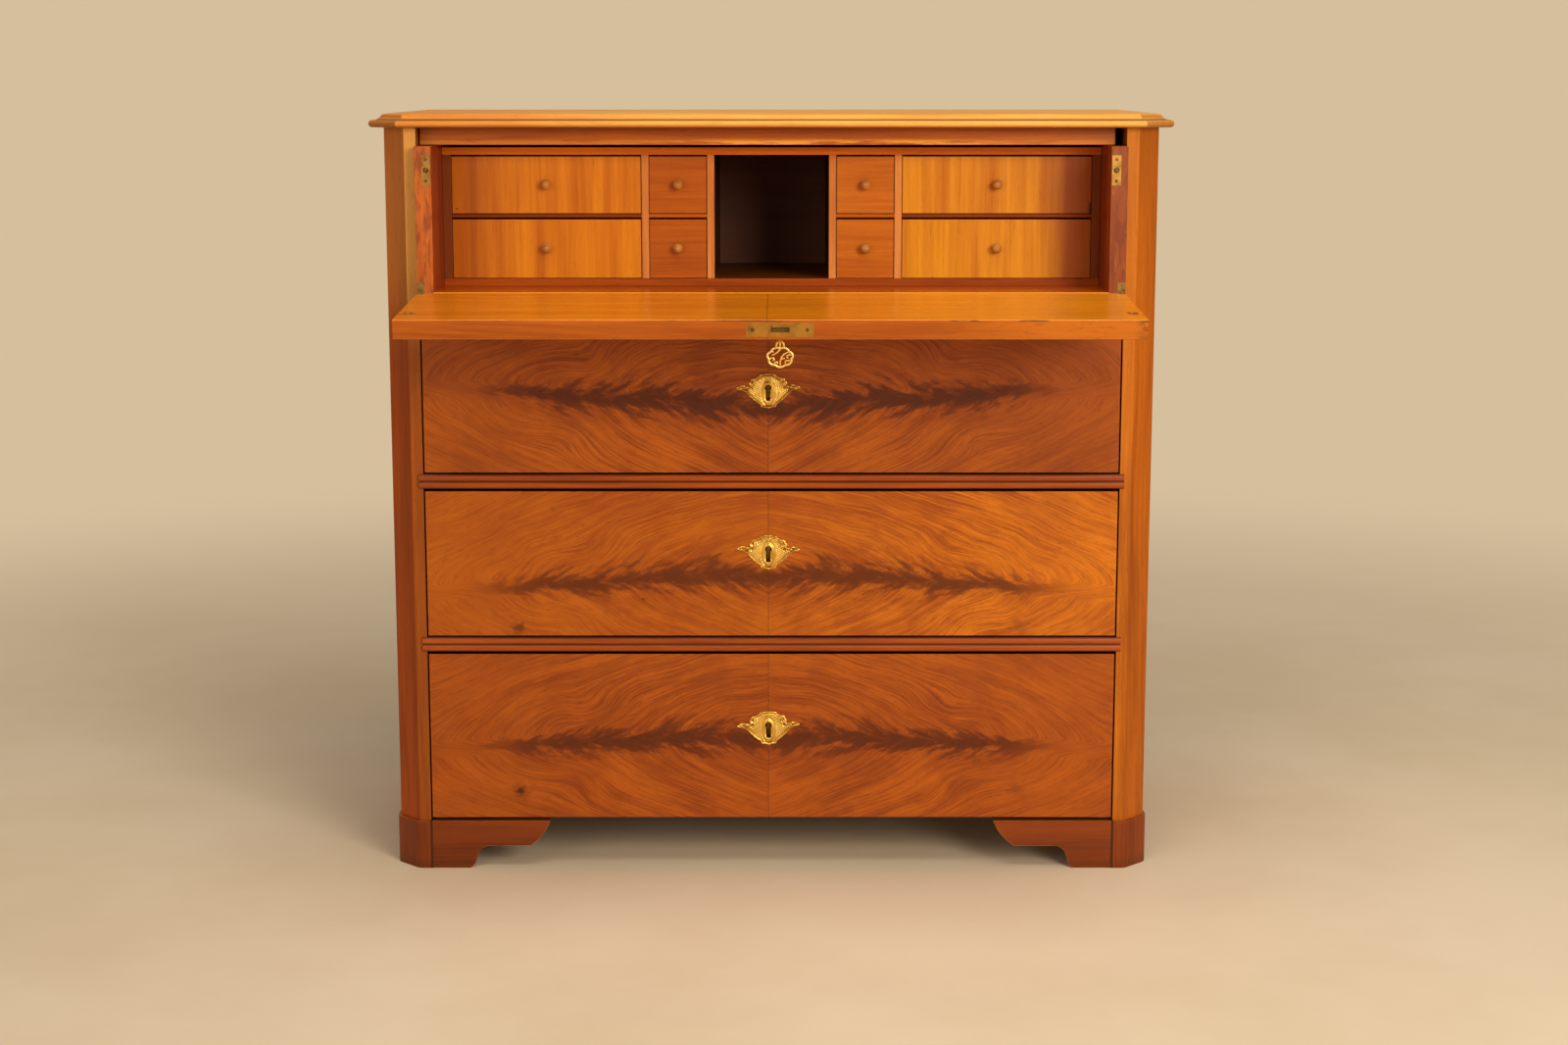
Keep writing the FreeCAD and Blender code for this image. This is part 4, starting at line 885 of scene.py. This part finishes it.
# Keyhole: height and radius of its eye, half width and foot of its slot
EYE_V, EYE_R, SLOT_U, SLOT_V = 5.5, 4.5, 3.2, -12


def cast_height(u, v, edge):
    """How far the shield stands out: beads, ringed keyhole, shell crown, scrolls and leaf wings."""
    side = abs(u)
    ring = math.hypot(u / 7, (v + 1.4) / 13.2)
    height = 1.2 + 0.8 * bell(math.hypot(u, v), 0, 20)
    height += 1.0 * bell(edge, 0.7, 0.9) - 0.4 * bell(edge, 2.5, 0.7)
    height += 0.5 * bell(edge, 4.2, 0.8) * ease(v, 5, 10)
    height += 1.1 * bell(ring, 0.98, 0.15) - 0.5 * ease(ring, 0.82, 0.66) - 0.45 * bell(ring, 1.3, 0.1)
    height += 0.3 * bell(ring, 1.5, 0.1) * ease(v, 9, 1)
    grain = math.cos(1.75 * u + 0.6 * v) * math.cos(1.5 * v - 0.5 * u)
    height += 0.4 * grain * ease(ring, 1.3, 1.6) * ease(edge, 2.4, 3.6)
    height += 0.2 * math.cos(13 * math.atan2(u, v - 4)) * ease(v, 14.5, 17) * ease(edge, 2, 3.4)
    curl = math.hypot(side - 19.4, v - 12.6)
    height += 0.95 * bell(curl, 0, 1.5) + 0.5 * bell(curl, 3.7, 0.9) - 0.4 * bell(curl, 2.2, 0.7)
    vein = v - 5.6 + 0.004 * (side - 34) ** 2
    leaf = ease(side, 25, 28)
    height += leaf * (0.45 * math.cos(2.1 * (side - 1.5 * abs(vein))) + 0.4 * bell(vein, 0, 0.6))
    height -= 1.2 * bell(math.hypot(side - 22.2, v - 5), 0, 1.5)
    return min(max(height, 0.5), 3.4)


def shield():
    """The cast shield: its outline with cut corners, a keyhole and relief on a fine grid."""
    half = []
    for (au, av), (bu, bv) in zip(SHIELD, SHIELD[1:]):
        half += [(au + (bu - au) * share, av + (bv - av) * share) for share in (0.2, 0.8)]
    rim = [SHIELD[0]] + half + [SHIELD[-1]] + [(-u, v) for u, v in reversed(half)]
    edges = list(zip(rim, rim[1:] + rim[:1]))
    drop = math.asin(SLOT_U / EYE_R)
    round_eye = [-math.pi / 2 + drop + (2 * math.pi - 2 * drop) * k / 20 for k in range(21)]
    hole = arc(0, EYE_V, EYE_R, round_eye) + [(-SLOT_U, SLOT_V), (SLOT_U, SLOT_V)]

    def edge_of(u, v):
        best = 99
        for (au, av), (bu, bv) in edges:
            du, dv = bu - au, bv - av
            share = min(max(((u - au) * du + (v - av) * dv) / (du * du + dv * dv), 0), 1)
            best = min(best, math.hypot(u - au - share * du, v - av - share * dv))
        return best

    def pierced(u, v, room):
        eye = math.hypot(u, v - EYE_V) < EYE_R + room
        return eye or (abs(u) < SLOT_U + room and SLOT_V - room < v < EYE_V)

    def inside(u, v):
        crossings = 0
        for (au, av), (bu, bv) in edges:
            crossings += (av > v) != (bv > v) and u < au + (v - av) * (bu - au) / (bv - av)
        return crossings % 2 and not pierced(u, v, 0.5) and edge_of(u, v) > 0.45

    pitch, rows, columns = 0.85, range(-32, 36), range(-53, 53)
    grid = []
    for row in rows:
        grid += [(column * pitch + row % 2 * pitch / 2, row * pitch * 0.866) for column in columns]
    flat = rim + hole + [point for point in grid if inside(*point)]
    loops = [(i, (i + 1) % len(rim)) for i in range(len(rim))]
    loops += [(len(rim) + i, len(rim) + (i + 1) % len(hole)) for i in range(len(hole))]
    flat, _, faces, *_ = delaunay_2d_cdt([Vector(point) for point in flat], loops, [], 2, 0.00001)
    middles = [sum((flat[i] for i in face), Vector((0, 0))) / len(face) for face in faces]
    faces = [face for face, middle in zip(faces, middles) if not pierced(*middle, 0)]
    tops = [cast_height(u, v, edge_of(u, v)) for u, v in flat]
    casting = Casting()
    casting.add(
        [(u, v, top) for (u, v), top in zip(flat, tops)], faces,
        [min(max((top - 0.7) / 1.9, 0), 1) for top in tops],
    )
    sides = {(a, b) for face in faces for a, b in zip(face, face[1:] + face[:1])}
    walls = [(a, b) for a, b in sorted(sides) if (b, a) not in sides]
    for a, b in walls:
        corners = [(*flat[b], tops[b]), (*flat[a], tops[a]), (*flat[a], 0), (*flat[b], 0)]
        casting.add(corners, [(0, 1, 2, 3)], 0.4)
    return casting


def curve(*points):
    """Smooth line through points."""
    line = []
    padded = [points[0], *points, points[-1]]
    for a, b, c, d in zip(padded, padded[1:], padded[2:], padded[3:]):
        for share in (0, 0.25, 0.5, 0.75):
            line.append(tuple(
                b[k] + 0.5 * share * (c[k] - a[k] + share * (
                    2 * a[k] - 5 * b[k] + 4 * c[k] - d[k] + share * (3 * (b[k] - c[k]) + d[k] - a[k])
                )) for k in (0, 1)
            ))
    return line + [points[-1]]


def key_casting():
    """Lobed bow with scrolled tracery, turned collar, shaft and notched bit; v runs out of the lock."""
    casting = Casting()
    centre, half_width, half_height = 40.2, 16.2, 12.6
    rim = []
    for turn in turns(112):
        reach = 0.86 + 0.14 * abs(math.cos(3.5 * (turn - math.pi / 2))) ** 0.7
        rim.append((half_width * reach * math.cos(turn), centre + half_height * reach * math.sin(turn)))
    casting.tube(rim, 1.5, 1.1, True)
    tracery = [
        ((0.6, -11.2), (-2.6, -7), (-6.2, -4.2), (-10.4, -2.6)),
        ((9.8, -6.4), (4.8, -3.6), (1.4, 0.8), (0.2, 6), (0, 11.4)),
        ((-13.2, -5.4), (-10.6, -7.6), (-8.2, -6)),
        ((-12.8, 2.6), (-9.8, 0.6), (-7.4, 2.6), (-9.2, 5)),
        ((-7.4, 9.4), (-6.4, 6.4), (-3.6, 6.2), (-3.2, 8.6)),
        ((13.2, -2.6), (10.2, -2.8), (8.4, -0.4), (10.4, 1.8)),
        ((12, 5), (9, 4), (6.4, 5.6), (7.2, 8.4)),
        ((0.8, 3.6), (3.8, 1.6), (6.2, 2.2)),
    ]
    for line in tracery:
        casting.tube([(u, centre + v) for u, v in curve(*line)], 1.1, 0.9)
    for tip in (-5.2, 0, 5.2):
        casting.tube(curve((tip * 0.3, 19.4), (tip * 0.8, 23), (tip, 28.4)), 1.5, 1.4)
    casting.tube([(-5.6, 22.6), (-3, 21), (0, 20.6), (3, 21), (5.6, 22.6)], 1.1, 1.6)
    casting.lathe([
        (-3, 2.6), (17, 2.6), (17.2, 3.9), (17.8, 4.4), (18.4, 3.9),
        (18.8, 3.3), (19.2, 3.9), (19.8, 4.4), (20.4, 3.8), (21, 2.9),
    ])
    bit = Casting()
    bit.prism([(-3, 0), (4, 0), (4, 10.4), (-3, 10.4)], -1.5, 1.5)
    notch = Casting()
    notch.prism([(0.1, 6.2), (0.9, 6.2), (0.9, 10.5), (0.1, 10.5)], -1.6, 1.6, 0.0)
    for part in (bit, notch):
        casting.add([(h, v, out) for v, out, h in part.points], part.faces, part.relief)
    return casting


def screws(spots, radius):
    """Slotted countersunk heads at (u, v, turn) spots, just proud of the plate."""
    casting = Casting()
    slot, floor, proud = math.asin(0.16), 0.04, 0.2
    for u, v, turn in spots:
        casting.prism(arc(u, v, radius, turns(24)), 0, floor, 0.0)
        for side in (0, math.pi):
            half = [slot + (math.pi - 2 * slot) * k / 12 + side + turn for k in range(13)]
            casting.prism(arc(u, v, radius, half), floor, proud, 0.7)
    return casting


def upright(x, y, z, tilt=0.0):
    """Place a casting on a face that looks to -Y."""
    axes = Matrix(((1, 0, 0, 0), (0, 0, -1, 0), (0, 1, 0, 0), (0, 0, 0, 1)))
    return Matrix.Translation((x, y, z)) @ axes @ Matrix.Rotation(math.radians(tilt), 4, "Z")


SHIELD_RISE = 22.5625  # the shield's origin above its foot
SHIELD_CASTING = shield()
for number, tilt in ((1, 1.2), (2, -0.6), (3, 2.0)):
    node = "drawer_%d_escutcheon" % number
    low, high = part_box(node)
    place = upright((low[0] + high[0]) / 2, high[1], low[2] + SHIELD_RISE * MM, tilt)
    SHIELD_CASTING.finish("drawer_%d_shield" % number, place, "drawer_%d" % number, GILT, node)
# Places up the fall from its hinge
KEY_UP = math.dist(JOINTS["key_turn"]["pos_m"][1:], JOINTS["fall_hinge"]["pos_m"][1:])
SHIELD_UP = KEY_UP - 0.005667
EDGE_UP = KEY_UP + 0.034
FALL_SHIELD_PLACE = FALL_TURN @ upright(LOCK_X, -FALL_THICK / 2, SHIELD_UP)
SHIELD_CASTING.finish("fall_shield", FALL_SHIELD_PLACE, "fall", GILT, "fall_escutcheon")
KEY_AXES = Matrix(((1, 0, 0, 0), (0, -1, 0, 0), (0, 0, -1, 0), (0, 0, 0, 1)))
KEY_PLACE = FALL_TURN @ Matrix.Translation((LOCK_X, 0, KEY_UP)) @ KEY_AXES
key_casting().finish("key_casting", KEY_PLACE, "key", KEY_BRASS_BRIGHTENED, "key")
LOCK_PLACE = FALL_TURN @ Matrix.Translation((LOCK_X, 0, EDGE_UP))
screws([(-34, 0, 0.5), (34, 0, 1.9)], 2.6).finish("lock_screws", LOCK_PLACE, "fall", SCREW)
low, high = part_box("catch_plates")
CATCH_PLACE = upright(0, low[1], 0)
CATCH_U, CATCH_V = high[0] / MM - 6, (low[2] + high[2]) / 2 / MM
SPOTS = []
for side in (-1, 1):
    SPOTS += [(side * CATCH_U, CATCH_V + step, turn) for step, turn in ((-14, 0.7), (14, 2.1))]
screws(SPOTS, 2.2).finish("catch_screws", CATCH_PLACE, "secretaire", SCREW)

# Floor and backdrop

PALE = shade(214, 191, 157)


def only_seen(nodes, links):
    """1 for rays that look at the background, 0 for rays that gather its light."""
    rays = nodes.new("ShaderNodeLightPath").outputs
    value = rays["Is Camera Ray"]
    for kind in ("Is Glossy Ray", "Is Transmission Ray"):
        either = nodes.new("ShaderNodeMath")
        either.operation = "MAXIMUM"
        links.new(value, either.inputs[0])
        links.new(rays[kind], either.inputs[1])
        value = either.outputs[0]
    return value


def blend_shaders(nodes, links, factor, first, second, output):
    """Join two shaders on their way out."""
    blend = nodes.new("ShaderNodeMixShader")
    for socket, value in zip(blend.inputs, (factor, first.outputs[0], second.outputs[0])):
        links.new(value, socket)
    links.new(blend.outputs[0], nodes[output].inputs["Surface"])


def pale_floor():
    """Wide pale floor that fades into the background's colour away from the chest."""
    paint = Paint("pale_floor")
    x, y, z = paint.place
    cloud = paint.noise((x, 1.4), (y, 1.4), z, 5, 0.6)
    colour = paint.mix(paint.step(cloud, 0.3, 0.7), (226, 203, 168), (237, 216, 184))
    paint.fix(Base_Color=colour, Roughness=0.75)
    away = paint.calc("SQRT", paint.total((x, x), (y, y)))
    glow = paint.make("Emission", Color=PALE)
    far = paint.times(paint.step(away, 1.0, 3.6), only_seen(paint.nodes, paint.links))
    blend_shaders(paint.nodes, paint.links, far, paint.surface, glow, "Material Output")
    mesh = bpy.data.meshes.new("floor")
    sides, radii = 64, (2, 5, 40)
    points, faces = [], [tuple(range(sides))]
    for radius in radii:
        points += [(x, y, 0) for x, y in arc(0, 0, radius, turns(sides))]
    for inner, outer in ((0, sides), (sides, 2 * sides)):
        for k in range(sides):
            after = (k + 1) % sides
            faces.append((inner + k, outer + k, outer + after, inner + after))
    mesh.from_pydata(points, [], faces)
    mesh.materials.append(paint.material)
    floor = bpy.data.objects.new("floor", mesh)
    bpy.context.scene.collection.objects.link(floor)


def pale_world():
    """Dim even light, with a pale background where it is looked at."""
    world = bpy.data.worlds.new("studio")
    world.use_nodes = True
    nodes, links = world.node_tree.nodes, world.node_tree.links
    dim = nodes["Background"]
    dim.inputs["Color"].default_value = (1.0, 0.96, 0.9, 1)
    dim.inputs["Strength"].default_value = 0.2
    pale = nodes.new("ShaderNodeBackground")
    pale.inputs["Color"].default_value = PALE
    blend_shaders(nodes, links, only_seen(nodes, links), dim, pale, "World Output")
    bpy.context.scene.world = world


def lamp(name, place, target, size, power, colour):
    """A round soft light that looks at a target."""
    data = bpy.data.lights.new(name, "AREA")
    data.shape = "DISK"
    data.size = size
    data.energy = power
    data.color = colour
    item = bpy.data.objects.new(name, data)
    item.location = place
    item.rotation_euler = (Vector(target) - Vector(place)).to_track_quat("-Z", "Y").to_euler()
    bpy.context.scene.collection.objects.link(item)


pale_floor()
pale_world()
lamp("key", (2.2, -4.0, 2.0), (0, 0, 0.6), 2.2, 136, (1.0, 0.94, 0.85))
lamp("fill", (-2.2, -4.1, 1.8), (0, 0, 0.6), 2.4, 33, (1.0, 0.95, 0.87))
lamp("sky", (0.2, -1.2, 3.6), (0, 0, 0.9), 2.6, 60, (1.0, 0.95, 0.88))
bpy.context.scene.view_settings.view_transform = "Standard"

# Camera as fitted to the photo
CAMERA_X, CAMERA_AWAY, CAMERA_Z = 0.0169, 3.4633, 1.0832
CAMERA_DIP = 9.765
camera_data = bpy.data.cameras.new("camera")
camera_data.sensor_width = 36
camera_data.sensor_fit = "HORIZONTAL"
camera_data.lens = 59.27
camera = bpy.data.objects.new("camera", camera_data)
camera.location = (CAMERA_X, FRONT_Y - CAMERA_AWAY, CAMERA_Z)
camera.rotation_euler = (math.radians(90 - CAMERA_DIP), 0, 0)
bpy.context.scene.collection.objects.link(camera)
bpy.context.scene.camera = camera
